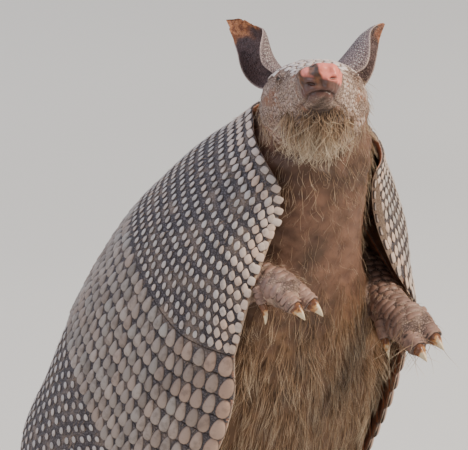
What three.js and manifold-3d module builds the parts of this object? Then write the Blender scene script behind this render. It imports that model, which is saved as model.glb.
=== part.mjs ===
// Nine-banded armadillo, standing upright on its hind feet and tail, nose raised to sniff.
// Millimetres, +Z up, the animal faces -Y, its left side is +X.
import * as THREE from 'three';
import { mergeVertices } from 'three/addons/utils/BufferGeometryUtils.js';
import Module from 'manifold-3d';

const wasm = await Module();
wasm.setup();

// ---------- driving sizes ----------
const DEG = Math.PI / 180;
const GAP = 0.3; // clear space between neighbouring pieces
const TRUNK_LENGTH = 290; // along the spine, rump to neck
const RUMP_PITCH = 75 * DEG; // slope of the spine above the floor at the rump
const NECK_PITCH = 60 * DEG; // slope of the spine at the neck
const SIDE_LEAN = 4.7 * DEG; // lean to the animal's left reached at the neck
const RUMP = new THREE.Vector3(5, 78, 55); // rear end of the spine line
const SQUARENESS = 0.88; // 1 gives elliptic body sections, less gives fuller corners
const SHELL_THICKNESS = 3.6;
const SHELL_CLEARANCE = 4.3; // armour plus the thin space under it
const BAND_COUNT = 9;
const BAND_LIFT = 1.0; // rear edge of each band stands this far proud of the next band
const COLUMNS = 32; // every body section is divided into this many sides

// Armour section along the spine: station, half width, back depth, side-wall depth.
const SHELL_ROWS = [
  [0, 31, 29, 27], [8, 47, 43, 40], [20, 63, 58, 56], [38, 79, 71, 70], [65, 89, 78, 80],
  [105, 91, 71, 88], [150, 90, 68, 90], [196, 86, 61, 86], [225, 79, 54, 72],
  [250, 65, 47, 53], [272, 49, 38, 41], [290, 37, 33, 33],
];
// The left wall is drawn in where the body turns: station, shares of the half width and the
// side-wall depth, degrees added to the rim angle, share of the flesh's half width.
const LEFT_ROWS = [
  [165, 1, 1, 0, 1], [190, 1, 1, 0, 1], [202, 1, 0.97, 4, 0.99], [214, 1.02, 0.88, 13, 0.92],
  [225, 1.06, 0.79, 21, 0.86], [250, 1.05, 0.75, 26, 0.78], [272, 1, 0.82, 26, 0.74],
  [285, 0.95, 0.92, 22, 0.75], [290, 0.93, 0.94, 21, 0.76],
];
// Flesh section along the spine: station, half width low on the flank, belly depth.
const FLESH_ROWS = [
  [0, 26, 25], [20, 46, 40], [60, 72, 60], [110, 80.5, 72], [160, 77, 68],
  [200, 63, 58], [240, 48, 46], [270, 38, 38], [290, 32, 31],
];
// Lower rim of the armour: station, angle from the back line in degrees.
const RIM_ROWS = [[20, 118], [45, 126], [90, 132], [140, 137], [172, 135], [200, 129], [285, 130]];
// Armour margins: angle from the back line in degrees, station.
const SHOULDER_FRONT = [
  [0, 279], [30, 283], [52, 286], [75, 284], [96, 280.5], [116, 275.5], [125, 268], [130, 259],
];
const SHOULDER_FRONT_LEFT = [[0, 279], [30, 283], [52, 286], [75, 285], [116, 284], [152, 282]];
const SHOULDER_REAR = [
  [0, 214], [55, 212], [69, 210.5], [80, 206.5], [88, 203], [94, 198.5], [101, 194.5], [110, 192], [130, 195],
];
const PELVIS_FRONT = [
  [0, 146], [45, 143], [64, 138], [75, 133], [83, 128.5], [89, 122.5], [99, 110.5], [112, 95], [135, 82],
];
const PELVIS_REAR = [[0, 3], [60, 4], [100, 10], [120, 20]];

// ---------- curves ----------
const clamp = (x, low, high) => Math.min(Math.max(x, low), high);
const smooth = (x, low, high) => {
  const u = clamp((x - low) / (high - low), 0, 1);
  return u * u * (3 - 2 * u);
};
const power = (x, e) => Math.sign(x) * Math.abs(x) ** e;

// Smooth curve through rows of [station, values...].
function profile(rows) {
  const last = rows.length - 1;
  const slope = (i, k) => {
    const a = rows[Math.max(i - 1, 0)];
    const b = rows[Math.min(i + 1, last)];
    return (b[k] - a[k]) / (b[0] - a[0]);
  };
  return (x) => {
    const q = clamp(x, rows[0][0], rows[last][0]);
    let i = 0;
    while (i < last - 1 && q > rows[i + 1][0]) i += 1;
    const h = rows[i + 1][0] - rows[i][0];
    const u = (q - rows[i][0]) / h;
    return rows[i].slice(1).map((p, j) => {
      const next = rows[i + 1][j + 1];
      const bulge = (u ** 3 - 2 * u ** 2 + u) * slope(i, j + 1) + (u ** 3 - u ** 2) * slope(i + 1, j + 1);
      return p + (3 * u ** 2 - 2 * u ** 3) * (next - p) + h * bulge;
    });
  };
}

// Outward normal of a surface point(a, b) by finite differences.
function normalOf(point, a, b, stepA, stepB) {
  const da = point(a + stepA, b).sub(point(a - stepA, b));
  const db = point(a, b + stepB).sub(point(a, b - stepB));
  return da.cross(db).normalize();
}

// ---------- closed solids from three.js primitives ----------
function closed(geometry, place) {
  geometry.deleteAttribute('normal');
  geometry.deleteAttribute('uv');
  const position = geometry.attributes.position;
  for (let i = 0; i < position.count; i += 1) {
    const p = place(position.getX(i), position.getY(i), position.getZ(i));
    position.setXYZ(i, p.x, p.y, p.z);
  }
  return outward(mergeVertices(geometry, 1e-3));
}

// Drops collapsed triangles and turns the faces outward.
function outward(geometry) {
  const p = geometry.attributes.position;
  const at = (i) => new THREE.Vector3().fromBufferAttribute(p, i);
  const kept = [];
  let volume = 0;
  for (let i = 0; i < geometry.index.count; i += 3) {
    const [a, b, c] = [0, 1, 2].map((k) => geometry.index.getX(i + k));
    if (a !== b && b !== c && c !== a) {
      kept.push(a, b, c);
      volume += at(a).dot(at(b).cross(at(c)));
    }
  }
  if (volume < 0) kept.reverse();
  geometry.setIndex(kept);
  return geometry;
}

// Slab over a patch: surface(u, v, side) with side 1 outside and 0 inside.
function slab(columns, rows, surface) {
  const box = new THREE.BoxGeometry(1, 1, 1, columns, rows, 1);
  return closed(box, (x, y, z) => surface(x + 0.5, y + 0.5, z + 0.5));
}

// Tube with flat ends: ring(angle, along, reach), reach 1 on the wall and 0 on the centre line.
function tube(columns, rings, ring) {
  const cylinder = new THREE.CylinderGeometry(1, 1, 1, columns, rings);
  return closed(cylinder, (x, y, z) => {
    const reach = Math.hypot(x, z);
    return ring(Math.atan2(x, z), y + 0.5, reach > 0.5 ? 1 : 0);
  });
}

// ---------- manifold helpers ----------
function toManifold(geometry) {
  return new wasm.Manifold(new wasm.Mesh({
    numProp: 3,
    vertProperties: new Float32Array(geometry.attributes.position.array),
    triVerts: new Uint32Array(geometry.index.array),
  }));
}

function fromManifold(solid) {
  const pieces = solid.decompose();
  pieces.sort((a, b) => b.volume() - a.volume());
  const mesh = pieces[0].getMesh();
  const geometry = new THREE.BufferGeometry();
  geometry.setAttribute('position', new THREE.BufferAttribute(new Float32Array(mesh.vertProperties), 3));
  geometry.setIndex(new THREE.BufferAttribute(new Uint32Array(mesh.triVerts), 1));
  return geometry;
}

function subtract(geometry, ...cutters) {
  return fromManifold(cutters.reduce((solid, c) => solid.subtract(toManifold(c)), toManifold(geometry)));
}

function intersect(geometry, other) {
  return fromManifold(toManifold(geometry).intersect(toManifold(other)));
}

function unite(...geometries) {
  return fromManifold(geometries.map(toManifold).reduce((a, b) => a.add(b)));
}

// ---------- finishes ----------
const finish = (color, roughness) => ({ color, roughness, metalness: 0 });
const FINISH = {
  armour: finish(0x75685f, 0.62),
  bands: finish(0x9b8b7d, 0.6),
  skin: finish(0x8f7061, 0.75),
  head: finish(0x9c8474, 0.7),
  ear: finish(0x6f5a57, 0.7),
  eye: finish(0x0c0908, 0.15),
  claw: finish(0xc9b48d, 0.4),
};
const group = new THREE.Group();
group.name = 'nine_banded_armadillo';

function add(name, geometry, look) {
  const mesh = new THREE.Mesh(geometry, new THREE.MeshStandardMaterial(look));
  mesh.name = name;
  group.add(mesh);
  return geometry;
}

// ---------- trunk ----------
const shellSize = profile(SHELL_ROWS);
const fleshSize = profile(FLESH_ROWS);
const leftShare = profile(LEFT_ROWS);
const X = new THREE.Vector3(1, 0, 0);

// Spine frame at a station: centre, left, dorsal and forward directions.
function spine(s) {
  const bend = (RUMP_PITCH - NECK_PITCH) / TRUNK_LENGTH;
  const pitch = RUMP_PITCH - bend * s;
  const lean = (SIDE_LEAN / TRUNK_LENGTH) * s;
  const ahead = new THREE.Vector3(0, -Math.cos(pitch), Math.sin(pitch));
  return {
    centre: new THREE.Vector3(
      RUMP.x + (lean * s) / 2,
      RUMP.y - (Math.sin(RUMP_PITCH) - Math.sin(pitch)) / bend,
      RUMP.z + (Math.cos(pitch) - Math.cos(RUMP_PITCH)) / bend,
    ),
    left: X.clone().multiplyScalar(Math.cos(lean)).addScaledVector(ahead, -Math.sin(lean)),
    dorsal: new THREE.Vector3(0, Math.sin(pitch), Math.cos(pitch)),
    ahead: ahead.clone().multiplyScalar(Math.cos(lean)).addScaledVector(X, Math.sin(lean)),
  };
}

// Section point at angle t from the belly line, positive to the animal's left.
function sectionPoint(s, t, width, back, belly) {
  const f = spine(s);
  const rise = -power(Math.cos(t), SQUARENESS) * (Math.cos(t) > 0 ? belly : back);
  const aside = width * power(Math.sin(t), SQUARENESS);
  return f.centre.addScaledVector(f.left, aside).addScaledVector(f.dorsal, rise);
}

function shellOuter(s, t) {
  const [width, back, side] = shellSize(s);
  const [wide, deep] = Math.sin(t) > 0 ? leftShare(s) : [1, 1];
  return sectionPoint(s, t, width * wide, back, side * deep);
}

function shellPoint(s, t, lift) {
  const n = normalOf((a, b) => shellOuter(a, b), s, t, 0.5, 0.02);
  const centre = spine(s).centre;
  const p = shellOuter(s, t);
  if (n.dot(p.clone().sub(centre)) < 0) n.negate();
  return p.addScaledVector(n, lift);
}

// Flesh follows the inside of the armour over the back and draws in below it. It stays
// with the armour longer round the belly, and on the left where the chest fills the wall.
function fleshPoint(s, t) {
  const fromBack = Math.abs(Math.PI - Math.abs(t)) / DEG;
  const belly = 1 - smooth(s, 160, 200);
  const chest = Math.sin(t) > 0 ? smooth(s, 212, 252) : 0;
  const hug = Math.max((Math.sin(t) > 0 ? 56 : 34) * belly, 38 * chest);
  const inset = (0.8 * belly + (1.6 + 2 * smooth(s, 248, 270)) * chest) * smooth(fromBack, 80, 104);
  const under = shellPoint(s, t, -SHELL_CLEARANCE - inset);
  const [width, depth] = fleshSize(s);
  const share = Math.sin(t) > 0 ? leftShare(s)[3] : 1;
  const low = sectionPoint(s, t, width * share, shellSize(s)[1] - SHELL_CLEARANCE, depth);
  return under.lerp(low, smooth(fromBack - hug, 62, 104));
}

const TRUNK_END = TRUNK_LENGTH - 5;
const TRUNK_RINGS = [0, 8, 20, 38, 65, 105, 150, 185, 207, 228, 250, 270, TRUNK_END];
function trunkSolid(grow) {
  return tube(COLUMNS, TRUNK_RINGS.length - 1, (t, v, reach) => {
    const i = Math.round(v * (TRUNK_RINGS.length - 1));
    const s = TRUNK_RINGS[i] + (i === 0 ? -grow : 0) + (i === TRUNK_RINGS.length - 1 ? grow : 0);
    const centre = spine(s).centre;
    const wall = fleshPoint(s, t);
    wall.addScaledVector(wall.clone().sub(centre).normalize(), grow);
    return reach ? wall : centre;
  });
}
add('trunk', trunkSolid(0), FINISH.skin);

// ---------- armour ----------
const marginCurve = (rows) => {
  const curve = profile(rows);
  return (t) => curve(Math.abs(Math.PI - t) / DEG)[0];
};
const frontLeft = marginCurve(SHOULDER_FRONT_LEFT);
const frontRight = marginCurve(SHOULDER_FRONT);
const shoulderFront = (t) => (t < Math.PI ? frontLeft(t) : frontRight(t));
const shoulderRear = marginCurve(SHOULDER_REAR);
const pelvisFront = marginCurve(PELVIS_FRONT);
const pelvisRear = marginCurve(PELVIS_REAR);
const rim = profile(RIM_ROWS);
const SHELL_COLUMNS = 22; // half of them each side of the back line
const BACK_COLUMNS = 8; // down to the widest line; the rest reach the rim

// Section angle of a column (0 to 1, from the left rim over the back to the right one).
function columnAngle(u, s) {
  const j = Math.abs(2 * u - 1) * (SHELL_COLUMNS / 2);
  const reach = rim(s)[0] + (u < 0.5 ? leftShare(s)[2] : 0);
  const spread = (reach * DEG - Math.PI / 2) / (SHELL_COLUMNS / 2 - BACK_COLUMNS);
  const below = (j - BACK_COLUMNS) * spread;
  const fromBack = below <= 0 ? (j * 2 * Math.PI) / COLUMNS : Math.PI / 2 + below;
  return Math.PI + Math.sign(u - 0.5) * fromBack;
}

// Armour plate between two margins, divided at the given fractions of its length;
// lift(v) raises the outer face, grow pads it all round.
function plate(rear, front, fractions, lift = () => 0, grow = 0) {
  const rows = fractions.length - 1;
  return slab(SHELL_COLUMNS, rows, (u, row, side) => {
    const v = fractions[Math.round(row * rows)];
    const station = (t) => {
      const start = rear(t) + GAP / 2 - grow;
      return start + (front(t) - GAP / 2 + grow - start) * v;
    };
    const first = columnAngle(u, station(columnAngle(u, 150)));
    const t = first + (u === 0 ? -1 : u === 1 ? 1 : 0) * (grow / 80);
    return shellPoint(station(first), t, side ? lift(v) + grow : -SHELL_THICKNESS - grow);
  });
}
const bandMargin = (i) => (t) => pelvisFront(t) + ((shoulderRear(t) - pelvisFront(t)) * i) / BAND_COUNT;

const PELVIC_FRACTIONS = [0, 0.04, 0.1, 0.18, 0.28, 0.42, 0.6, 0.8, 1];
const SHOULDER_FRACTIONS = [0, 0.17, 0.34, 0.5, 0.67, 0.84, 1];
const BAND_FRACTIONS = [0, 1];
add('pelvic_shield', plate(pelvisRear, pelvisFront, PELVIC_FRACTIONS), FINISH.armour);
for (let i = 0; i < BAND_COUNT; i += 1) {
  const lift = (v) => BAND_LIFT * (1 - v);
  const band = plate(bandMargin(i), bandMargin(i + 1), BAND_FRACTIONS, lift);
  add(`band_${BAND_COUNT - i}`, band, FINISH.bands);
}
const shoulderLift = (v) => BAND_LIFT * (1 - smooth(v, 0, 0.2));
const shoulderPlate = plate(shoulderRear, shoulderFront, SHOULDER_FRACTIONS, shoulderLift);
add('scapular_shield', shoulderPlate, FINISH.armour);
const pelvicBlock = plate(pelvisRear, pelvisFront, PELVIC_FRACTIONS, () => 0, GAP);
const bandBlock = plate(pelvisFront, shoulderRear, [0, 0.25, 0.5, 0.75, 1], () => BAND_LIFT, GAP);
const shoulderBlock = plate(shoulderRear, shoulderFront, SHOULDER_FRACTIONS, () => BAND_LIFT, GAP);

// ---------- head ----------
const HEAD_BASE = new THREE.Vector3(4.8, -34.7, 332.8);
const HEAD_TURN = 39.5 * DEG; // towards the animal's right
const HEAD_RAISE = 30 * DEG;
const HEAD_START = 14;
const HEAD_LENGTH = 98;
const HEAD_AHEAD = new THREE.Vector3(
  -Math.sin(HEAD_TURN) * Math.cos(HEAD_RAISE),
  -Math.cos(HEAD_TURN) * Math.cos(HEAD_RAISE),
  Math.sin(HEAD_RAISE),
);
const HEAD_LEFT = new THREE.Vector3(Math.cos(HEAD_TURN), -Math.sin(HEAD_TURN), 0);
const HEAD_UP = HEAD_LEFT.clone().cross(HEAD_AHEAD).negate();
// Head section along its axis: distance, half width, height above, depth below.
const HEAD_ROWS = [
  [0, 25, 21, 22], [14, 27, 22, 25], [30, 28, 22, 26], [45, 24.5, 19, 22.5], [60, 18.5, 13.6, 18.6],
  [75, 13.8, 9.6, 16], [88, 11.6, 6.6, 14.2], [95, 11, 6.2, 12.6], [98, 9.6, 5.4, 10.8],
];
const SNOUT_SWING = 2.8; // the snout turns this far to the animal's right
const headSize = profile(HEAD_ROWS);
const headAt = (q, left, up) => HEAD_BASE.clone().addScaledVector(HEAD_AHEAD, q)
  .addScaledVector(HEAD_LEFT, left - SNOUT_SWING * smooth(q, 52, 92)).addScaledVector(HEAD_UP, up);

function headPoint(q, t, grow = 0) {
  const [width, above, below] = headSize(q);
  const c = Math.cos(t);
  const left = (width + grow) * power(Math.sin(t), 0.92);
  return headAt(q, left, -power(c, 0.92) * ((c > 0 ? below : above) + grow));
}

const HEAD_RINGS = [HEAD_START + GAP, 24, 34, 43, 51, 60, 70, 80, 89, 95, HEAD_LENGTH];
function headSolid(grow) {
  return tube(24, HEAD_RINGS.length - 1, (t, v, reach) => {
    const q = HEAD_RINGS[Math.round(v * (HEAD_RINGS.length - 1))];
    return reach ? headPoint(q, t, grow) : headAt(q, 0, 0);
  });
}

// Block in head directions: from/to along the axis, half width, bottom and top heights.
function headBlock(from, to, half, bottom, top) {
  return slab(1, 1, (u, v, w) => {
    const up = bottom + (top(v) - bottom) * w;
    return headAt(from + (to - from) * v, half * (2 * u - 1), up);
  });
}
const jawTop = (shift) => (v) => -11.4 + 1.6 * v + shift;
const jawBlock = headBlock(46, 93, 30, -40, jawTop(0));
const jawCut = headBlock(46 - GAP, 93 + GAP, 31, -41, jawTop(GAP));

const EYE_RADIUS = 4.2;
const EYES = [-1, 1].map((side) => headAt(50.5, side * 16.8, 6.5));
const ball = (centre, radius, columns, rows) => closed(
  new THREE.SphereGeometry(radius, columns, rows),
  (x, y, z) => new THREE.Vector3(x, y, z).add(centre),
);
const NOSTRIL_RADIUS = 1.9;
const nostrils = [-1, 1].map((side) => {
  const centre = headAt(HEAD_LENGTH + 0.2, side * 4.3, 0.8);
  return ball(centre, NOSTRIL_RADIUS, 7, 5);
});
const head = subtract(
  headSolid(0), jawCut, ...EYES.map((e) => ball(e, EYE_RADIUS + GAP, 10, 6)), ...nostrils,
);
add('lower_jaw', intersect(headSolid(0), jawBlock), FINISH.head);
['right', 'left'].forEach((side, i) => add(`eye_${side}`, ball(EYES[i], EYE_RADIUS, 10, 6), FINISH.eye));

// ---------- ears ----------
const inHead = (left, up, ahead) => new THREE.Vector3()
  .addScaledVector(HEAD_LEFT, left).addScaledVector(HEAD_UP, up).addScaledVector(HEAD_AHEAD, ahead);
const EAR_THICKNESS = 1.6;
// Ear rows: share of the length, half width round the curl, half curl angle in degrees.
// The opening turns from low to high on the way up; slope sets the tip's cut aslant.
const EARS = [
  {
    name: 'ear_right', base: headAt(20, -13, 16.5), axis: inHead(-0.56, 0.76, -0.36),
    low: inHead(-1, 0, 0.05), high: inHead(-0.5, 0, 0.85), tipBend: inHead(1, 0, 1),
    length: 46, slope: -4,
    rows: [
      [0, 15, 98], [0.18, 15.5, 96], [0.42, 13.6, 85], [0.68, 9.8, 62], [0.88, 7, 52], [1, 5.6, 45],
    ],
  },
  {
    name: 'ear_left', base: headAt(20, 10, 18), axis: inHead(0.643, 0.633, -0.43),
    low: inHead(1, 0, -0.2), high: inHead(1, 0, 0.2), tipBend: inHead(2, 0, 0),
    length: 46, slope: 0,
    rows: [
      [0, 17, 108], [0.18, 20, 105], [0.42, 19.5, 88], [0.68, 13, 66], [0.88, 5.5, 45], [1, 1.5, 25],
    ],
  },
];

// Curled sheet standing on the ear's base and growing along its axis.
function earSolid(ear) {
  const a = ear.axis.clone().normalize();
  const size = profile(ear.rows);
  const openTo = (v) => {
    const o = ear.low.clone().lerp(ear.high, smooth(v, 0.1, 0.62));
    return o.addScaledVector(a, -o.dot(a)).normalize();
  };
  const sheet = (u, v) => {
    const [half, curl] = size(v);
    const radius = half / (curl * DEG);
    const turn = (2 * u - 1) * curl * DEG;
    const o = openTo(v);
    const along = ear.length * v + ear.slope * (2 * u - 1) * smooth(v, 0.4, 1);
    return ear.base.clone().addScaledVector(a, along).addScaledVector(ear.tipBend, v * v)
      .addScaledVector(a.clone().cross(o), radius * Math.sin(turn))
      .addScaledVector(o, radius * (1 - Math.cos(turn)));
  };
  return slab(9, 7, (u, v, side) => {
    const [half, curl] = size(v);
    const hub = ear.base.clone().addScaledVector(a, ear.length * v).addScaledVector(ear.tipBend, v * v)
      .addScaledVector(openTo(v), half / (curl * DEG));
    const p = sheet(u, v);
    const n = normalOf(sheet, u, v, 0.01, 0.01);
    if (n.dot(hub.sub(p)) < 0) n.negate();
    return p.addScaledVector(n, side ? EAR_THICKNESS : 0);
  });
}
// The neck runs from the trunk's last ring to the head's first.
const NECK_FROM = TRUNK_END + GAP;
function neckPoint(t, v, reach) {
  const a = spine(NECK_FROM);
  const from = a.centre;
  const to = headAt(HEAD_START, 0, 0);
  const pull = from.distanceTo(to) / 3;
  const path = new THREE.CubicBezierCurve3(
    from, from.clone().addScaledVector(a.ahead, pull), to.clone().addScaledVector(HEAD_AHEAD, -pull), to,
  );
  const wallFrom = fleshPoint(NECK_FROM, t).sub(from);
  const wallTo = headPoint(HEAD_START, t).sub(to);
  return path.getPoint(v).addScaledVector(wallFrom, reach * (1 - v)).addScaledVector(wallTo, reach * v);
}
// Head and neck with their gap round them, to cut the ears' feet.
const rootPads = [
  headSolid(GAP), tube(COLUMNS, 3, (t, v, reach) => neckPoint(t, 1.03 * v, 1.02 * reach)),
];
EARS.forEach((ear) => {
  add(ear.name, subtract(earSolid(ear), ...rootPads), FINISH.ear);
});
add('head', head, FINISH.head);

// ---------- neck ----------
add('neck', tube(COLUMNS, 3, neckPoint), FINISH.skin);

// ---------- limbs ----------
// Limb path: station, x, y, z, half width, half height; side gives the width direction.
function limb(rows, side) {
  const curve = profile(rows);
  return (s) => {
    const [x, y, z, width, height] = curve(s);
    const [a, b] = [curve(s - 0.5), curve(s + 0.5)];
    const ahead = new THREE.Vector3(b[0] - a[0], b[1] - a[1], b[2] - a[2]).normalize();
    const across = side.clone().addScaledVector(ahead, -side.dot(ahead)).normalize();
    const up = ahead.clone().cross(across);
    return { centre: new THREE.Vector3(x, y, z), ahead, across, up, width, height };
  };
}

// Length of a limb with a ring at each station, padded all round by grow; nothing goes
// below the floor.
function length(path, stations, columns, grow = 0) {
  const rings = stations.length - 1;
  return tube(columns, rings, (t, v, reach) => {
    const f = path(stations[Math.round(v * rings)]);
    if (v === 0 || v === 1) f.centre.addScaledVector(f.ahead, (2 * v - 1) * grow);
    const p = f.centre.addScaledVector(f.across, reach * (f.width + grow) * Math.sin(t))
      .addScaledVector(f.up, reach * (f.height + grow) * Math.cos(t));
    p.z = Math.max(p.z, 0);
    return p;
  });
}

// One digit: a short toe from base along heading, then a claw hooking down beyond it.
function digit(base, heading, down, size) {
  const across = heading.clone().cross(down).normalize();
  const round = (centre, under, t, r) => {
    const p = centre.clone().addScaledVector(across, r * Math.sin(t)).addScaledVector(under, r * Math.cos(t));
    p.z = Math.max(p.z, 0);
    return p;
  };
  const toe = tube(7, 2, (t, v, reach) => {
    const centre = base.clone().addScaledVector(heading, size.toe * v);
    return round(centre, down, t, reach * size.radius * (1 - 0.2 * v * v));
  });
  const start = base.clone().addScaledVector(heading, size.toe + GAP);
  const arc = size.claw / size.hook;
  const claw = tube(5, 4, (t, v, reach) => {
    const turn = size.hook * v;
    const centre = start.clone().addScaledVector(heading, arc * Math.sin(turn))
      .addScaledVector(down, arc * (1 - Math.cos(turn)));
    const under = down.clone().multiplyScalar(Math.cos(turn)).addScaledVector(heading, -Math.sin(turn));
    return round(centre, under, t, reach * (size.radius * 0.62 * (1 - v ** 1.5) + 0.4));
  });
  return { toe, claw };
}

// Toes and claws of a foot, set out from the frame f of its knuckles.
function digits(f, list, mirror) {
  return list.map((d) => {
    const down = f.up.clone().negate();
    const heading = f.ahead.clone().addScaledVector(f.across, d.splay * mirror)
      .addScaledVector(down, d.sink).normalize();
    const base = f.centre.clone().addScaledVector(f.across, d.medial * mirror)
      .addScaledVector(f.ahead, d.ahead).addScaledVector(down, d.drop);
    down.addScaledVector(heading, -down.dot(heading)).normalize();
    return digit(base, heading, down, d.size);
  });
}

const trunkPadded = trunkSolid(GAP);
const small = { toe: 7, radius: 3.6, claw: 10, hook: 0.7 };
const large = { toe: 13, radius: 6, claw: 9, hook: 0.3 };
const FORE_DIGITS = [
  { medial: 11.5, ahead: -13, drop: 1, splay: 0.4, sink: 0.6, size: small },
  { medial: 4.8, ahead: 0, drop: 0, splay: 0.06, sink: 0.12, size: large },
  { medial: -4.8, ahead: -2, drop: 0, splay: -0.04, sink: 0.12, size: large },
  { medial: -10.5, ahead: -10, drop: 2.5, splay: -0.1, sink: 0.9, size: small },
];
// Arms from shoulder to knuckles: station, x, y, z, half width, half height.
const ARMS = [
  {
    side: 'right', across: new THREE.Vector3(1, 0, 0), mirror: 1,
    rows: [
      [0, -38, 6, 276, 14, 15], [25, -52, 7, 256, 14, 15], [46, -59, 1, 238, 12.5, 13],
      [66, -52, -15, 238, 11.5, 12], [96, -36, -38, 252, 10.5, 10], [110, -34, -50, 251, 12, 10],
      [118, -33.5, -57, 249, 11.5, 9],
    ],
  },
  {
    side: 'left', across: new THREE.Vector3(0.88, -0.2, 0.3), mirror: -1,
    rows: [
      [0, 50, 6, 270, 14, 15], [25, 63, 7, 250, 14, 15], [46, 69, 0, 232, 12.5, 13],
      [66, 65, -18, 226, 12, 12], [96, 54, -48, 216, 11.5, 11], [110, 51, -61, 214, 12.5, 10.5],
      [118, 49.5, -68, 212, 12, 9.5],
    ],
  },
];
ARMS.forEach((arm) => {
  const path = limb(arm.rows, arm.across);
  const walls = [trunkPadded, shoulderBlock, bandBlock];
  const upper = [0, 24, 46 - GAP];
  add(`upper_arm_${arm.side}`, subtract(length(path, upper, 12), ...walls), FINISH.skin);
  const lower = length(path, [46, 60, 78, 96 - GAP], 12);
  add(`forearm_${arm.side}`, subtract(lower, ...walls, length(path, upper, 12, GAP)), FINISH.skin);
  const toes = digits(path(117), FORE_DIGITS, arm.mirror);
  const foot = unite(length(path, [96, 107, 118], 12), ...toes.map((d) => d.toe));
  add(`forefoot_${arm.side}`, subtract(foot, ...walls), FINISH.skin);
  toes.forEach((d, i) => add(`foreclaw_${arm.side}_${i + 1}`, d.claw, FINISH.claw));
});

// Legs from hip to ankle, then the foot from heel to knuckles.
const hindSize = (toe, radius, claw) => ({ toe, radius, claw, hook: 0.45 });
const HIND_DIGITS = [
  { medial: 14, ahead: -5, drop: 1, splay: 0.4, sink: 0.1, size: hindSize(10, 3.6, 9) },
  { medial: 7.5, ahead: -2, drop: 0.6, splay: 0.08, sink: 0.1, size: hindSize(13, 4.6, 12) },
  { medial: 0, ahead: 0, drop: 0.6, splay: 0, sink: 0.1, size: hindSize(14, 4.9, 13) },
  { medial: -7.5, ahead: -3, drop: 0.6, splay: -0.08, sink: 0.1, size: hindSize(13, 4.6, 12) },
  { medial: -14, ahead: -8, drop: 1, splay: -0.45, sink: 0.1, size: hindSize(10, 3.4, 8) },
];
const LEG_ROWS = [
  [0, 42, 44, 97, 22, 24], [32, 58, 20, 86, 22, 27], [60, 67, -6, 72, 18, 20.5],
  [82, 65, 4, 50, 15, 16.5], [106, 60, 24, 31, 12, 13], [120, 58, 34, 20, 11.5, 12],
];
const FOOT_ROWS = [
  [0, 57, 50, 7.5, 5, 5], [4, 57, 47, 8, 9.5, 9.5], [14, 58, 36, 9.4, 12, 12],
  [40, 61, 10, 7.9, 13, 10], [70, 65, -18, 6.2, 16, 8],
];
[-1, 1].forEach((mirror, i) => {
  const side = ['right', 'left'][i];
  const flip = (rows) => rows.map(([s, x, ...rest]) => [s, RUMP.x + mirror * (x - 2), ...rest]);
  const leg = limb(flip(LEG_ROWS), X);
  const foot = limb(flip(FOOT_ROWS), X);
  const thighRings = [0, 32, 48, 60 - GAP];
  const thighPadded = length(leg, thighRings, 14, GAP);
  const thigh = length(leg, thighRings, 14);
  add(`thigh_${side}`, subtract(thigh, trunkPadded, pelvicBlock, bandBlock), FINISH.skin);
  const footRings = [0, 4, 14, 40, 70];
  const footPadded = length(foot, footRings, 12, GAP);
  const shank = length(leg, [60, 70, 84, 106, 120], 12);
  const shankCutters = [thigh, thighPadded, footPadded, trunkPadded, pelvicBlock];
  add(`shank_${side}`, subtract(shank, ...shankCutters), FINISH.skin);
  const toes = digits(foot(69), HIND_DIGITS, -mirror);
  const footSolid = unite(length(foot, footRings, 12), ...toes.map((d) => d.toe));
  add(`hindfoot_${side}`, footSolid, FINISH.skin);
  toes.forEach((d, k) => add(`hindclaw_${side}_${k + 1}`, d.claw, FINISH.claw));
});

// ---------- tail ----------
// Down from the rump, then back along the floor: station, x, y, z, half width, half height.
const TAIL_ROWS = [
  [0, 5, 78, 55, 24, 24], [20.5, 5, 87.4, 37, 23.5, 23.5], [41, 5, 103.5, 24.5, 22.5, 22.5],
  [61.5, 6, 123.4, 18.5, 21, 21], [110, 9, 171.7, 15.3, 17.4, 17.4], [170, 17, 231, 11.2, 12.8, 12.8],
  [230, 29, 290, 7.5, 8.6, 8.6], [290, 46, 347.5, 4.3, 4.9, 4.9], [322, 57, 377.5, 2.3, 2.6, 2.6],
];
const TAIL_CUTS = [
  ['tail_base', GAP, 61.5], ['tail_middle', 61.5, 146], ['tail_end', 146, 232], ['tail_tip', 232, 322],
];
const RING_LENGTH = 15;
const RING_STEP = 0.9; // each ring's rear edge stands proud of the next ring
const tail = limb(TAIL_ROWS, X);
TAIL_CUTS.forEach(([name, from, to]) => {
  const count = Math.round((to - from) / RING_LENGTH);
  const solid = tube(14, 2 * count - 1, (t, v, reach) => {
    const k = Math.round(v * (2 * count - 1));
    const ring = Math.floor(k / 2);
    const rear = k % 2;
    const s = from + ((to - from - GAP) * (ring + rear * 0.97)) / count;
    const f = tail(s);
    const r = f.width + (rear ? RING_STEP : 0) * (1 - s / 330);
    const p = f.centre.addScaledVector(f.across, reach * r * Math.sin(t))
      .addScaledVector(f.up, reach * r * Math.cos(t));
    p.z = Math.max(p.z, 0);
    return p;
  });
  add(name, name === 'tail_base' ? subtract(solid, trunkPadded, pelvicBlock) : solid, FINISH.armour);
});

// ---------- origin: middle of the outline, on the floor ----------
const box = new THREE.Box3().setFromObject(group);
const shift = new THREE.Vector3(-(box.min.x + box.max.x) / 2, -(box.min.y + box.max.y) / 2, -box.min.z);
group.children.forEach((mesh) => mesh.geometry.translate(shift.x, shift.y, shift.z));

export default group;
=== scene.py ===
"""Nine-banded armadillo, standing upright on its hind feet and tail with its nose raised.

Every shape is worked out as whole arrays in the maker's millimetres (Z up, the animal
facing -Y, its left side +X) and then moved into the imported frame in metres. The armour,
the skin, the scutes, the hair, the eyes and the claws are each a class of their own.
"""

from __future__ import annotations

import logging
from collections.abc import Callable
from dataclasses import dataclass, field
from enum import Enum

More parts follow.
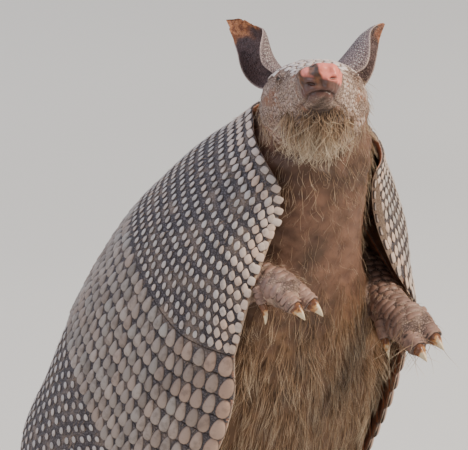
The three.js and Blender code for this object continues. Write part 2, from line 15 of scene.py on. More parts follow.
import bmesh
import bpy
import numpy as np
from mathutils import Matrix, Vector

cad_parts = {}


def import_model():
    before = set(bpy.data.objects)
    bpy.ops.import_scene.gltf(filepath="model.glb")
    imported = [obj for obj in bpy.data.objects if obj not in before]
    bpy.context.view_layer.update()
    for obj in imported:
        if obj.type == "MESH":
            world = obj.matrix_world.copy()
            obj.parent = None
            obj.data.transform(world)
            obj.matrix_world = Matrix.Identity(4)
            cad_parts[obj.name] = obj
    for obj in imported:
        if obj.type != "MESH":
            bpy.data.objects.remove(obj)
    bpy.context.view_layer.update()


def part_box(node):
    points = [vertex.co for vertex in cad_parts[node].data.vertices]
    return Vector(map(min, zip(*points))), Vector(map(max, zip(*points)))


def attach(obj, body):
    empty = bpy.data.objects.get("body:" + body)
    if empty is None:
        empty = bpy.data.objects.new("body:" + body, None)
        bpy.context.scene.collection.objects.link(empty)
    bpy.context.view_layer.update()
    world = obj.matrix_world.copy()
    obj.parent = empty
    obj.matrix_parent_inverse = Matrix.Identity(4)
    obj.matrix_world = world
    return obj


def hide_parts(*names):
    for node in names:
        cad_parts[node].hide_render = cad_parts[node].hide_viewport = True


Array = np.ndarray
Curve = Callable[[Array], Array]
Rows = list[tuple[float, ...]]
Socket = bpy.types.NodeSocket
Surface = Callable[[Array, Array, Array], Array]
MM = 0.001
RIGHT, LEFT = -1.0, 1.0
PATCH = 0.0015  # half size of a scute's or a hair's own patch on its bake unwrap
LOG = logging.getLogger("armadillo")


# ---------------------------------------------------------------- number helpers
def smooth(x: Array | float, low: float, high: float) -> Array:
    """Smooth step: 0 below low, 1 above high, 3u^2 - 2u^3 between."""
    u = np.clip((np.asarray(x, float) - low) / (high - low), 0, 1)
    return u * u * (3 - 2 * u)


def power(x: Array, e: float) -> Array:
    """Sign of x times its size raised to e, which squares or rounds a circle."""
    return np.sign(x) * np.abs(x) ** e


def unit(v: Array) -> Array:
    """Vectors scaled to length one along the last axis."""
    v = np.asarray(v, float)
    return v / np.maximum(np.linalg.norm(v, axis=-1, keepdims=True), 1e-12)


def bump(x: Array, centre: float, width: float) -> Array:
    """Bell curve exp(-((x - centre) / width)^2)."""
    return np.exp(-(((x - centre) / width) ** 2))


def profile(rows: Rows) -> Curve:
    """Smooth curve through rows of (station, values...).

    Between two rows it is a cubic Hermite curve whose slope at a row is the rise between
    its two neighbours divided by their distance.

    Args:
        rows: Stations in rising order, each with the values there.

    Returns:
        A function from an array of stations to an array of values, last axis added.
    """
    table = np.array(rows, float)
    x, p = table[:, 0], table[:, 1:]
    slope = np.empty_like(p)
    slope[1:-1] = (p[2:] - p[:-2]) / (x[2:] - x[:-2])[:, None]
    slope[0] = (p[1] - p[0]) / (x[1] - x[0])
    slope[-1] = (p[-1] - p[-2]) / (x[-1] - x[-2])

    def curve(station: Array) -> Array:
        """Values of the curve at the given stations."""
        s = np.clip(np.asarray(station, float), x[0], x[-1])
        i = np.clip(np.searchsorted(x, s, side="right") - 1, 0, len(x) - 2)
        h = (x[i + 1] - x[i])[..., None]
        u = (s[..., None] - x[i][..., None]) / h
        bend = (u**3 - 2 * u**2 + u) * slope[i] + (u**3 - u**2) * slope[i + 1]
        return p[i] + (3 * u**2 - 2 * u**3) * (p[i + 1] - p[i]) + h * bend

    return curve


def ripple(points: Array, size: float, seed: int) -> Array:
    """Smooth random field between about -1 and 1: a sum of seven plane waves.

    Args:
        points: Places in millimetres, shape (..., 3).
        size: Typical width of a ripple in millimetres.
        seed: Picks the waves' directions and phases.

    Returns:
        The field's value at each place.
    """
    rng = np.random.default_rng(seed)
    waves = unit(rng.normal(size=(7, 3))) * rng.uniform(0.6, 1.6, (7, 1)) * np.pi / size
    phase = rng.uniform(0, 2 * np.pi, 7)
    return np.sin(points @ waves.T + phase).sum(-1) / 3.2


def nearest(points: Array, line: Array, chunk: int = 20000) -> tuple[Array, Array]:
    """Index of a line's point nearest to each place, and its distance.

    Args:
        points: Places, shape (n, 3).
        line: Points of the line, shape (m, 3).
        chunk: Places worked out at a time, which keeps the table of distances small.

    Returns:
        Indices and distances, one for each place.
    """
    index, far = np.empty(len(points), int), np.empty(len(points))
    for low in range(0, len(points), chunk):
        cut = slice(low, low + chunk)
        d = np.linalg.norm(points[cut, None] - line[None], axis=-1)
        index[cut], far[cut] = d.argmin(1), d.min(1)
    return index, far


# ---------------------------------------------------------------- mesh building
@dataclass
class Shape:
    """Points in millimetres with their faces, numbers per point and bake patches."""

    points: Array
    quads: Array = field(default_factory=lambda: np.zeros((0, 4), int))
    tris: Array = field(default_factory=lambda: np.zeros((0, 3), int))
    data: dict[str, Array] = field(default_factory=dict)
    patch: Array | None = None

    @staticmethod
    def join(shapes: list[Shape]) -> Shape:
        """One shape out of several; a number missing from one of them counts as 0."""
        starts = np.cumsum([0] + [len(s.points) for s in shapes])
        names = {name for s in shapes for name in s.data}
        data = {n: np.concatenate([s.data.get(n, np.zeros(len(s.points))) for s in shapes]) for n in names}
        has_patch = all(s.patch is not None for s in shapes)
        return Shape(
            np.concatenate([s.points for s in shapes]),
            np.concatenate([s.quads + k for s, k in zip(shapes, starts)]),
            np.concatenate([s.tris + k for s, k in zip(shapes, starts)]),
            data,
            np.concatenate([s.patch for s in shapes]) if has_patch else None,
        )


def grid(rows: int, columns: int, closed: bool) -> Array:
    """Four-sided faces of a grid of points, row by row.

    Args:
        rows: Number of rows of points.
        columns: Number of points in a row.
        closed: Whether the last column joins the first.

    Returns:
        Index quads, shape (faces, 4).
    """
    i, j = np.meshgrid(np.arange(rows - 1), np.arange(columns - (not closed)), indexing="ij")
    k = (j + 1) % columns
    quad = [i * columns + j, i * columns + k, (i + 1) * columns + k, (i + 1) * columns + j]
    return np.stack(quad, -1).reshape(-1, 4)


def tube(rings: Array) -> Shape:
    """Closed tube through rings of points (count, around, 3), with a fan at each end."""
    count, around = rings.shape[:2]
    points = np.concatenate([rings.reshape(-1, 3), rings[[0, -1]].mean(1)])
    j = np.arange(around)
    k = (j + 1) % around
    last = (count - 1) * around
    first_fan = np.stack([j, np.full(around, count * around), k], -1)
    last_fan = np.stack([last + k, np.full(around, count * around + 1), last + j], -1)
    return Shape(points, grid(count, around, True)[:, ::-1], np.concatenate([first_fan, last_fan]))


def faced_out(mesh: bpy.types.Mesh, weld: float) -> None:
    """Merges points closer than weld metres and turns every face outwards."""
    work = bmesh.new()
    work.from_mesh(mesh)
    bmesh.ops.remove_doubles(work, verts=work.verts, dist=weld)
    bmesh.ops.dissolve_degenerate(work, edges=work.edges, dist=weld)
    bmesh.ops.recalc_face_normals(work, faces=work.faces)
    work.to_mesh(mesh)
    work.free()


class Slot(Enum):
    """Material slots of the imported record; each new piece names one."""

    SHIELD = "shield_plate"
    BAND = "band_plate"
    TAIL = "tail_ring"
    BODY = "body_skin"
    HEAD = "head_skin"
    EYE = "eye"
    CLAW = "claw"


class Bench:
    """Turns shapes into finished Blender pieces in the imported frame."""

    def __init__(self, eye_centre: Array) -> None:
        """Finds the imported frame's shift from the left eye's place, given in millimetres."""
        low, high = (np.array(corner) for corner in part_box("eye_left"))
        self.shift = (low + high) / 2 - eye_centre * MM
        self.total = 0

    def mesh(self, name: str, shape: Shape) -> bpy.types.Mesh:
        """Makes a mesh datablock from a shape, in metres.

        Args:
            name: Name of the mesh.
            shape: Points, faces and numbers to put in it.

        Returns:
            The new mesh, smooth shaded.
        """
        mesh = bpy.data.meshes.new(name)
        corners = np.concatenate([shape.quads.ravel(), shape.tris.ravel()]).astype(np.int32)
        sides = np.concatenate([np.full(len(shape.quads), 4), np.full(len(shape.tris), 3)])
        mesh.vertices.add(len(shape.points))
        mesh.vertices.foreach_set("co", (shape.points * MM + self.shift).astype(np.float32).ravel())
        mesh.loops.add(len(corners))
        mesh.loops.foreach_set("vertex_index", corners)
        mesh.polygons.add(len(sides))
        starts = np.concatenate([[0], np.cumsum(sides)[:-1]]).astype(np.int32)
        mesh.polygons.foreach_set("loop_start", starts)
        mesh.polygons.foreach_set("use_smooth", np.ones(len(sides), bool))
        mesh.update(calc_edges=True)
        mesh.validate()
        for key, values in shape.data.items():
            layer = mesh.attributes.new(key, "FLOAT", "POINT")
            layer.data.foreach_set("value", np.asarray(values, np.float32))
        if shape.patch is not None:
            layer = mesh.uv_layers.new(name="OFBake")
            index = np.empty(len(mesh.loops), np.int32)
            mesh.loops.foreach_get("vertex_index", index)
            layer.uv.foreach_set("vector", shape.patch[index].astype(np.float32).ravel())
        return mesh

    def piece(
        self, name: str, shape: Shape, finish: Finish, slot: Slot, nodes: tuple[str, ...] = (),
        weld: bool = False,
    ) -> None:
        """Adds one finished piece that rides on the body, at the origin and unturned.

        Args:
            name: Name of the piece.
            shape: Its shape.
            finish: Its finish.
            slot: The record's slot for it; not used.
            nodes: CAD nodes that it stands for.
            weld: Whether to merge its collapsed ends and turn its faces out.
        """
        mesh = self.mesh(name, shape)
        if weld:
            faced_out(mesh, 1e-5)
        mesh.materials.append(finish.material())
        piece = bpy.data.objects.new(name, mesh)
        bpy.context.scene.collection.objects.link(piece)
        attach(piece, "root")
        if nodes:
            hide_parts(*nodes)
        mesh.calc_loop_triangles()
        count = len(mesh.loop_triangles)
        self.total += count
        LOG.info("%s: %d triangles", name, count)


# ---------------------------------------------------------------- scutes
@dataclass(frozen=True)
class ScuteCut:
    """How one kind of scute is cut: sides, squareness and its rings of (spread, height)."""

    sides: int = 10
    squareness: float = 0.8
    rings: tuple[tuple[float, float], ...] = ((1.0, -0.45), (0.94, 0.55), (0.62, 0.95))


@dataclass
class ScuteBed:
    """Places and sizes of many like scutes; every field is one number for each scute."""

    station: Array
    angle: Array
    length: Array
    width: Array
    height: Array
    slant: Array
    taper: Array
    tone: Array
    warm: Array

    @staticmethod
    def join(beds: list[ScuteBed]) -> ScuteBed:
        """One bed out of several."""
        names = ScuteBed.__dataclass_fields__
        return ScuteBed(*(np.concatenate([getattr(b, n) for b in beds]) for n in names))

    def lay(self, surface: Surface, cut: ScuteCut, tile: tuple[float, ...]) -> Shape:
        """Lays the scutes on a surface as low domes.

        A scute's outline is the superellipse (W cos^e f, L sin^e f); its width shrinks
        towards the front by the taper, and the slant shears it sideways. Rings of that
        outline rise to a dome, and each point is carried to the surface by dividing its
        millimetres by the surface's own stretch at the scute's middle.

        Args:
            surface: Function of station, angle and lift in millimetres.
            cut: The kind of scute.
            tile: Left, bottom, width and height of the part's tile in the bake unwrap.

        Returns:
            The joined scutes, with numbers rise (1 on the outermost ring), tone and warm.
        """
        f = np.arange(cut.sides) * 2 * np.pi / cut.sides
        b = power(np.sin(f), cut.squareness)
        a = power(np.cos(f), cut.squareness)
        rings = np.array(cut.rings)
        ring = np.repeat(np.arange(len(rings)), cut.sides)
        spread, rise = np.append(rings[ring], [[0.0, 1.0]], axis=0).T
        b = np.append(np.tile(b, len(rings)), 0.0) * spread
        a = np.append(np.tile(a, len(rings)), 0.0) * spread

        stretch = []
        for ds, dt, least in ((0.25, 0.0, 0.2), (0.0, 0.01, 2.0)):
            ends = [surface(self.station + k * ds, self.angle + k * dt, 0.0) for k in (1, -1)]
            moved = np.linalg.norm(ends[0] - ends[1], axis=-1) / (2 * (ds + dt))
            stretch.append(np.maximum(moved, least)[:, None])

        along = self.length[:, None] * b
        aside = self.width[:, None] * a * (1 - self.taper[:, None] * b) + self.slant[:, None] * along
        lift = self.height[:, None] * rise
        s = self.station[:, None] + along / stretch[0]
        points = surface(s, self.angle[:, None] + aside / stretch[1], lift)
        count, size = points.shape[:2]
        quads = grid(len(cut.rings), cut.sides, True)
        j = np.arange(cut.sides)
        top = (len(cut.rings) - 1) * cut.sides
        fan = np.stack([top + j, top + (j + 1) % cut.sides, np.full(cut.sides, size - 1)], -1)
        turned = np.einsum(
            "ij,ij->i",
            np.cross(points[:, top + 1] - points[:, top], points[:, -1] - points[:, top]),
            points[:, -1] - 0.5 * (points[:, 0] + points[:, cut.sides // 2]),
        )
        if np.median(turned) < 0:
            quads, fan = quads[:, ::-1], fan[:, ::-1]
        offset = (np.arange(count) * size)[:, None, None]
        left, bottom, wide, high = tile
        low_s, high_s = self.station.min() - 1, self.station.max() + 1
        across = left + wide * ((self.angle / (2 * np.pi)) % 1.0)
        upward = bottom + high * (self.station - low_s) / (high_s - low_s)
        patch = np.stack([across, upward], -1)[:, None] + PATCH * np.stack([a, b], -1)[None]
        data = {name: np.repeat(getattr(self, name), size) for name in ("tone", "warm")}
        return Shape(
            points.reshape(-1, 3),
            (quads[None] + offset).reshape(-1, 4),
            (fan[None] + offset).reshape(-1, 3),
            {"rise": np.tile(spread, count), **data},
            patch.reshape(-1, 2),
        )


# ---------------------------------------------------------------- the body's lines
@dataclass
class Trunk:
    """Trunk and the armour over it, as sections along a bending, leaning spine."""

    length: float = 290.0
    rump_pitch: float = 75.0
    neck_pitch: float = 60.0
    side_lean: float = 4.7
    rump: tuple[float, float, float] = (5.0, 78.0, 55.0)
    squareness: float = 0.88
    clearance: float = 4.3
    end: float = 285.0

    def __post_init__(self) -> None:
        """Makes the curves of the sections, and of what the turned body draws in on the left.

        The left shares are of the armour's width and side depth, the degrees added to its
        rim, and the share of the flesh's width.
        """
        self.armour_size = profile(
            [
                (0, 31, 29, 27), (8, 47, 43, 40), (20, 63, 58, 56), (38, 79, 71, 70),
                (65, 89, 78, 80), (105, 91, 71, 88), (150, 90, 68, 90), (196, 86, 61, 86),
                (225, 79, 54, 72), (250, 65, 47, 53), (272, 49, 38, 41), (290, 37, 33, 33),
            ]
        )
        self.left_share = profile(
            [
                (165, 1, 1, 0, 1), (190, 1, 1, 0, 1), (202, 1, 0.97, 4, 0.99), (214, 1.02, 0.88, 13, 0.92),
                (225, 1.06, 0.79, 21, 0.86), (250, 1.05, 0.75, 26, 0.78), (272, 1, 0.82, 26, 0.74),
                (285, 0.95, 0.92, 22, 0.75), (290, 0.93, 0.94, 21, 0.76),
            ]
        )
        self.flesh_size = profile(
            [
                (0, 26, 25), (20, 46, 40), (60, 72, 60), (110, 80.5, 72), (160, 77, 68),
                (200, 63, 58), (240, 48, 46), (270, 38, 38), (290, 32, 31),
            ]
        )

    def spine(self, s: Array) -> tuple[Array, Array, Array, Array]:
        """Centre, left, dorsal and forward directions of the spine at a station.

        The pitch falls evenly from rump to neck, so the line is an arc, and the lean to
        the left grows evenly too.

        Args:
            s: Stations in millimetres from the rump.

        Returns:
            Four arrays of vectors.
        """
        s = np.asarray(s, float)
        high = np.radians(self.rump_pitch)
        bend = (high - np.radians(self.neck_pitch)) / self.length
        pitch = high - bend * s
        lean = np.radians(self.side_lean) / self.length * s
        zero = np.zeros_like(pitch)
        level = np.stack([zero, -np.cos(pitch), np.sin(pitch)], -1)
        side = np.stack([zero + 1, zero, zero], -1)
        centre = np.stack(
            [
                self.rump[0] + lean * s / 2,
                self.rump[1] - (np.sin(high) - np.sin(pitch)) / bend,
                self.rump[2] + (np.cos(pitch) - np.cos(high)) / bend,
            ],
            -1,
        )
        left = side * np.cos(lean)[..., None] - level * np.sin(lean)[..., None]
        dorsal = np.stack([zero, np.sin(pitch), np.cos(pitch)], -1)
        ahead = level * np.cos(lean)[..., None] + side * np.sin(lean)[..., None]
        return centre, left, dorsal, ahead

    def section(self, s: Array, t: Array, width: Array, back: Array, belly: Array) -> Array:
        """Point of a squared oval section at angle t from the belly line, + to the left."""
        centre, left, dorsal, _ = self.spine(s)
        c = np.cos(t)
        rise = -power(c, self.squareness) * np.where(c > 0, belly, back)
        aside = width * power(np.sin(t), self.squareness)
        return centre + left * aside[..., None] + dorsal * rise[..., None]

    def armour_face(self, s: Array, t: Array) -> Array:
        """Point on the armour's outer face."""
        s, t = np.broadcast_arrays(np.asarray(s, float), np.asarray(t, float))
        width, back, side = np.moveaxis(self.armour_size(s), -1, 0)
        wide, deep = np.moveaxis(self.left_share(s), -1, 0)[:2]
        left = np.sin(t) > 0
        width, side = np.where(left, width * wide, width), np.where(left, side * deep, side)
        return self.section(s, t, width, back, side)

    def armour(self, s: Array, t: Array, lift: Array | float) -> Array:
        """Point at a height above the armour's outer face, along its normal."""
        p = self.armour_face(s, t)
        ds = self.armour_face(s + 0.5, t) - self.armour_face(s - 0.5, t)
        dt = self.armour_face(s, t + 0.02) - self.armour_face(s, t - 0.02)
        n = unit(np.cross(ds, dt))
        centre = self.spine(np.broadcast_arrays(s, t)[0])[0]
        n *= np.where(np.sum(n * (p - centre), -1, keepdims=True) < 0, -1.0, 1.0)
        return p + n * np.broadcast_to(lift, p.shape[:-1])[..., None]

    def flesh(self, s: Array, t: Array, lift: Array | float = 0.0) -> Array:
        """Point on the flesh, which follows the armour's inside and draws in below it."""
        s, t = np.broadcast_arrays(np.asarray(s, float), np.asarray(t, float))
        turn = (t + np.pi) % (2 * np.pi) - np.pi
        from_back = np.degrees(np.abs(np.pi - np.abs(turn)))
        belly = 1 - smooth(s, 160, 200)
        chest = smooth(s, 212, 252) * (np.sin(t) > 0)
        inset = (0.8 * belly + 0.6 * chest) * smooth(from_back, 80, 104)
        under = self.armour(s, t, -self.clearance - inset)
        width, depth = np.moveaxis(self.flesh_size(s), -1, 0)
        back = self.armour_size(s)[..., 1] - self.clearance
        width = np.where(np.sin(t) > 0, width * self.left_share(s)[..., 3], width)
        low = self.section(s, t, width, back, depth)
        hug = np.maximum(np.where(np.sin(t) > 0, 56, 34) * belly, 38 * chest)
        p = under + (low - under) * smooth(from_back - hug, 62, 104)[..., None]
        out = unit(p - self.spine(s)[0])
        return p + out * np.broadcast_to(lift, p.shape[:-1])[..., None]


def margin(rows: Rows, left: Rows | None = None) -> Curve:
    """Armour margin: station by degrees from the back line, with other rows for the left if given."""
    right_curve, left_curve = profile(rows), profile(left or rows)

    def at(a: Array) -> Array:
        """Station of the margin at an angle, negative on the animal's left."""
        turn = np.degrees(np.abs(a))
        return np.where(np.asarray(a) < 0, left_curve(turn)[..., 0], right_curve(turn)[..., 0])

    return at


@dataclass
class Plate:
    """One plate of armour between a rear and a front margin of the trunk."""

    name: str
    trunk: Trunk
    rear: Curve
    front: Curve
    step: float = 0.0
    step_reach: float = 1.0
    thickness: float = 3.6
    sunk: float = 0.75
    gap: float = 0.15
    free: float = -9.0
    rim: Curve = profile([(20, 118), (45, 126), (90, 132), (140, 137), (172, 135), (200, 129), (285, 130)])

    def depth(self, a: Array) -> Array:
        """Distance from the rear to the front margin at an angle from the back line."""
        return self.front(a) - self.rear(a)

    def station(self, a: Array, v: Array) -> Array:
        """Station at angle a from the back line, a fraction v from rear to front margin."""
        start = self.rear(a) + self.gap
        return start + (self.front(a) - self.gap - start) * v

    def rim_angle(self, v: float, side: int) -> float:
        """Signed angle of the plate's lower rim at fraction v, on the left (-1) or right (1)."""
        angle = side * np.radians(137.0)
        for _ in range(3):
            s = self.station(np.array(angle), np.array(v))
            more = self.trunk.left_share(s)[2] if side < 0 else 0.0
            angle = side * np.radians(self.rim(s)[0] + more)
        return float(angle)

    def rise(self, s: Array, a: Array) -> Array:
        """Height of the outer face: the rear edge stands proud by the step."""
        start = self.rear(a) + self.gap
        v = (s - start) / (self.front(a) - self.gap - start)
        return self.step * (1 - np.clip(v / self.step_reach, 0, 1))

    def surface(self, s: Array, t: Array, lift: Array | float) -> Array:
        """Point at a height above the plate's outer face."""
        return self.trunk.armour(s, t, lift + self.rise(s, t - np.pi))

    def slab(self, rows: int, columns: int = 150) -> Shape:
        """The plate under its scutes: a closed slab with rounded edges all round.

        A loop runs along the outer face, round the front edge, back along the inner face
        and round the rear edge. Near an edge the half thickness follows a circle of its
        own size, h = H sqrt(1 - (1 - d / H)^2) for distance d, and the loop closes to a
        line at the two rims in the same way. The slab thins towards its free margin.

        Args:
            rows: Rows of points along the outer face.
            columns: Columns of points from rim to rim.

        Returns:
            The slab, with numbers inside (1 on the inner face), brink (1 at an edge) and
            forward (0 at the rear edge to 1 at the front one).
        """
        half = (self.thickness - self.sunk) / 2
        thin = half * 0.42
        turn = np.linspace(0, np.pi / 2, 4)
        u = np.linspace(-1, 1, columns)
        v = np.linspace(0, 1, rows)
        rims = np.array([(self.rim_angle(x, -1), self.rim_angle(x, 1)) for x in v])
        length = float(self.depth(np.array(0.6)))
        round_v = (1 - np.cos(turn)) * thin / length
        round_h = np.sin(turn)
        flat, level = v[1:-1], np.ones(rows - 2)
        loop_v = [round_v, flat, 1 - round_v[::-1], 1 - round_v[1:], flat[::-1], round_v[:0:-1]]
        loop_h = [round_h, level, round_h[::-1], -round_h[1:], -level, -round_h[:0:-1]]
        loop_v, loop_h = np.concatenate(loop_v), np.concatenate(loop_h)
        left, right = (np.interp(loop_v, v, rims[:, k])[None] for k in (0, 1))
        reach = (1 - np.abs(u)) * 120
        close = np.sqrt(1 - (1 - np.clip(reach / thin, 0, 1)) ** 2)
        ends = np.abs(loop_v - self.free) * length
        depth = half * (0.8 + 0.2 * smooth(reach, 0, 9))[:, None] * (0.42 + 0.58 * smooth(ends, 0, 7))
        a = np.where(u[:, None] < 0, -u[:, None] * left, u[:, None] * right)
        s = self.station(a, np.broadcast_to(loop_v, a.shape))
        lift = -self.sunk + depth * (loop_h[None] * close[:, None] - 1)
        points = self.surface(s, a + np.pi, lift)
        shape = tube(points)
        brink = 1 - np.clip(close[:, None] * np.abs(loop_h)[None], 0, 1)
        numbers = (("inside", loop_h < 0.2, 1), ("brink", brink, 1), ("forward", loop_v, 0.5))
        for name, values, at_rims in numbers:
            full = np.broadcast_to(values, a.shape).astype(float)
            shape.data[name] = np.append(full.ravel(), [at_rims, at_rims])
        return shape

    def arc(self, v: float) -> tuple[Array, Array]:
        """Angles from rim to rim at fraction v, and the arc length in mm up to each."""
        a = np.linspace(self.rim_angle(v, -1), self.rim_angle(v, 1), 721)
        s = self.station(a, np.full_like(a, v))
        p = self.trunk.armour(s, a + np.pi, 0.0)
        steps = np.linalg.norm(np.diff(p, axis=0), axis=1)
        return a, np.concatenate([[0], np.cumsum(steps)])

    def row(self, v: float, pitch: float, edge_pitch: float, offset: float) -> tuple[Array, Array, Array]:
        """One row of scutes across the plate, counted from both rims to the back line.

        The pitch falls from edge_pitch at the rim to pitch inside, as
        pitch + (edge_pitch - pitch) exp(-d / 16) for the distance d from the rim.

        Args:
            v: Fraction of the plate from its rear margin.
            pitch: Distance between scutes inside the plate, mm.
            edge_pitch: Distance between scutes at the rim, mm.
            offset: Shift of the row's first scute from the rim, in pitches.

        Returns:
            Angles from the back line, distances from the nearer rim and local pitches.
        """
        a, arc = self.arc(v)
        half = arc[-1] / 2
        reach, gaps = [], []
        d = edge_pitch * (0.52 + offset)
        while d < half - 0.3 * pitch:
            local = pitch + (edge_pitch - pitch) * float(np.exp(-d / 16))
            reach.append(d)
            gaps.append(local)
            d += local
        reach, gaps = np.array(reach), np.array(gaps)
        left_over = 2 * (half - reach[-1])
        both = np.concatenate([reach, arc[-1] - reach[::-1]])
        wide = np.concatenate([gaps, gaps[::-1]])
        if left_over > 1.55 * pitch:
            both = np.insert(both, len(reach), half)
            wide = np.insert(wide, len(reach), min(pitch, left_over - pitch))
        return np.interp(both, arc, a), np.minimum(both, arc[-1] - both), wide


@dataclass
class Head:
    """Head as squared oval sections along its own axis."""

    base: tuple[float, float, float] = (4.8, -34.7, 332.8)
    turn: float = 39.5
    lift: float = 30.0
    start: float = 14.0
    length: float = 98.0
    squareness: float = 0.92
    eye: tuple[float, float, float] = (50.5, 16.8, 6.5)
    eye_radius: float = 4.2
    swing: float = 2.8

    def __post_init__(self) -> None:
        """Works out the head's directions and the curve of its sections."""
        turn, lift = np.radians(self.turn), np.radians(self.lift)
        self.ahead = np.array([-np.sin(turn) * np.cos(lift), -np.cos(turn) * np.cos(lift), np.sin(lift)])
        self.left = np.array([np.cos(turn), -np.sin(turn), 0.0])
        self.up = -np.cross(self.left, self.ahead)
        self.size = profile(
            [
                (0, 25, 21, 22), (14, 27, 22, 25), (30, 28, 22, 26), (45, 24.5, 19, 22.5),
                (60, 18.5, 13.6, 18.6), (75, 13.8, 9.6, 16), (88, 11.6, 6.6, 14.2),
                (95, 11, 6.2, 12.6), (98, 9.6, 5.4, 10.8),
            ]
        )

    def sway(self, q: Array | float) -> Array:
        """How far the snout swings to the left of the axis; it swings to the right."""
        return -self.swing * smooth(q, 52, 92)

    def at(self, q: Array | float, left: Array | float, up: Array | float) -> Array:
        """Point at a distance along the axis, to the left of the snout's middle and above it."""
        q, left, up = (np.asarray(x, float)[..., None] for x in (q, left, up))
        return np.array(self.base) + self.ahead * q + self.left * (left + self.sway(q)) + self.up * up

    def eye_centre(self, side: float) -> Array:
        """Middle of the eyeball on a side."""
        along, aside, up = self.eye
        return self.at(along, side * aside, up)

    def inside(self, left: float, up: float, ahead: float) -> Array:
        """Direction given in the head's own left, up and forward parts."""
        return self.left * left + self.up * up + self.ahead * ahead

    def coords(self, points: Array) -> tuple[Array, Array, Array]:
        """Distance along the axis, to the left and above, of each point."""
        d = points - np.array(self.base)
        q = d @ self.ahead
        return q, d @ self.left - self.sway(q), d @ self.up

    def point(self, q: Array, t: Array, lift: Array | float) -> Array:
        """Point at a height above the head's plain face, t from the underside, + left."""
        q, t = np.broadcast_arrays(np.asarray(q, float), np.asarray(t, float))
        width, above, below = np.moveaxis(self.size(q), -1, 0)
        c = np.cos(t)
        left = (width + lift) * power(np.sin(t), self.squareness)
        up = -power(c, self.squareness) * (np.where(c > 0, below, above) + lift)
        return self.at(q, left, up)


@dataclass
class Limb:
    """Limb or tail along a path of (station, x, y, z, half width, half height)."""

    rows: Rows
    side: tuple[float, float, float] = (1.0, 0.0, 0.0)

    def __post_init__(self) -> None:
        """Makes the path's curve."""
        self.curve = profile(self.rows)

    def frame(self, s: Array) -> tuple[Array, Array, Array, Array, Array]:
        """Centre, forward, sideways and upward directions and the two half sizes."""
        s = np.asarray(s, float)
        here = self.curve(s)
        ahead = unit(self.curve(s + 0.5)[..., :3] - self.curve(s - 0.5)[..., :3])
        side = np.array(self.side)
        across = unit(side - ahead * (ahead @ side)[..., None])
        return here[..., :3], ahead, across, np.cross(ahead, across), here[..., 3:]

    def point(self, s: Array, t: Array, lift: Array | float) -> Array:
        """Point at a height above the limb's face, at angle t; none below the floor."""
        s, t = np.broadcast_arrays(np.asarray(s, float), np.asarray(t, float))
        centre, _, across, up, size = self.frame(s)
        aside = ((size[..., 0] + lift) * np.sin(t))[..., None]
        rise = ((size[..., 1] + lift) * np.cos(t))[..., None]
        p = centre + across * aside + up * rise
        p[..., 2] = np.maximum(p[..., 2], 0.25)
        return p


@dataclass
class Digit:
    """Toe along a heading from its base, and the claw that hooks down beyond it."""

    base: Array
    heading: Array
    down: Array
    toe: float
    radius: float
    claw: float
    hook: float
    gap: float = 0.3

    def __post_init__(self) -> None:
        """Works out the sideways direction."""
        self.across = np.cross(self.heading, self.down)

    def toe_face(self, s: Array, t: Array, lift: Array | float) -> Array:
        """Point above the toe's face at distance s, t from its underside."""
        s, t = np.broadcast_arrays(np.asarray(s, float), np.asarray(t, float))
        r = self.radius * (1 - 0.2 * np.clip(s / self.toe, 0, 1) ** 2) + lift
        p = self.base + self.heading * s[..., None] + self.across * (r * np.sin(t))[..., None]
        p = p + self.down * (r * np.cos(t))[..., None]
        p[..., 2] = np.maximum(p[..., 2], 0.25)
        return p

    def claw_shape(self, blunt: float = 0.28) -> Shape:
        """Horn claw: a tapering arc, ridged above and hollowed below.

        The centre turns evenly through the hook angle, the radius follows
        1 - v^1.8, the section is narrowed at the sides as it nears the tip, and a
        ragged-edged sheath thickens the root.

        Args:
            blunt: Radius of the tip in millimetres.

        Returns:
            The claw, with numbers along (0 root to 1 tip) and around.
        """
        v = np.concatenate([[-0.16], np.linspace(0, 1, 22)])
        t = np.linspace(0, 2 * np.pi, 20, endpoint=False)
        turn = self.hook * v[:, None]
        arc = self.claw / self.hook
        start = self.base + self.heading * (self.toe + self.gap)
        centre = start + self.heading * (arc * np.sin(turn)) + self.down * (arc * (1 - np.cos(turn)))
        under = self.down * np.cos(turn) - self.heading * np.sin(turn)
        r = self.radius * 0.5 * (1 - np.clip(v, 0, 1) ** 1.8) + blunt
        ragged = v[:, None] + 0.05 * np.sin(3 * t + 1)[None] + 0.03 * np.sin(8 * t)[None]
        sheath = 1 + 0.16 * (1 - smooth(ragged, 0.24, 0.3))
        keel = 1 + 0.12 * np.maximum(-np.cos(t), 0) ** 6
        flat = np.where(np.cos(t) > 0, 0.72 - 0.22 * np.cos(t) ** 4, 0.98 * keel)
        narrow = 0.92 - 0.25 * smooth(v, 0.2, 1.0)
        aside = (r * narrow)[:, None] * np.sin(t)[None] * sheath
        rise = r[:, None] * (np.cos(t) * flat)[None] * sheath
        p = centre[:, None] + self.across * aside[..., None] + under[:, None] * rise[..., None]
        p[..., 2] = np.maximum(p[..., 2], 0.2)
        shape = tube(p)
        shape.data["along"] = np.append(np.repeat(np.clip(v, 0, 1), len(t)), [0, 1])
        shape.data["around"] = np.append(np.tile(np.cos(t), len(v)), [0, 0])
        return shape


def digits(path: Limb, at: float, rows: Rows, mirror: int) -> list[Digit]:
    """Toes and claws set out from the knuckles of a limb.

    Args:
        path: The limb.
        at: Station of the knuckles.
        rows: Medial, ahead, drop, splay, sink, toe, radius, claw and hook of each digit.
        mirror: 1 or -1, the side on which medial lies.

    Returns:
        The digits in order.
    """
    centre, ahead, across, up, _ = path.frame(np.array(at))
    made = []
    for medial, forward, drop, splay, sink, toe, radius, claw, hook in rows:
        heading = unit(ahead + across * splay * mirror - up * sink)
        base = centre + across * medial * mirror + ahead * forward - up * drop
        down = unit(-up + heading * (up @ heading))
        made.append(Digit(base, heading, down, toe, radius, claw, hook))
    return made


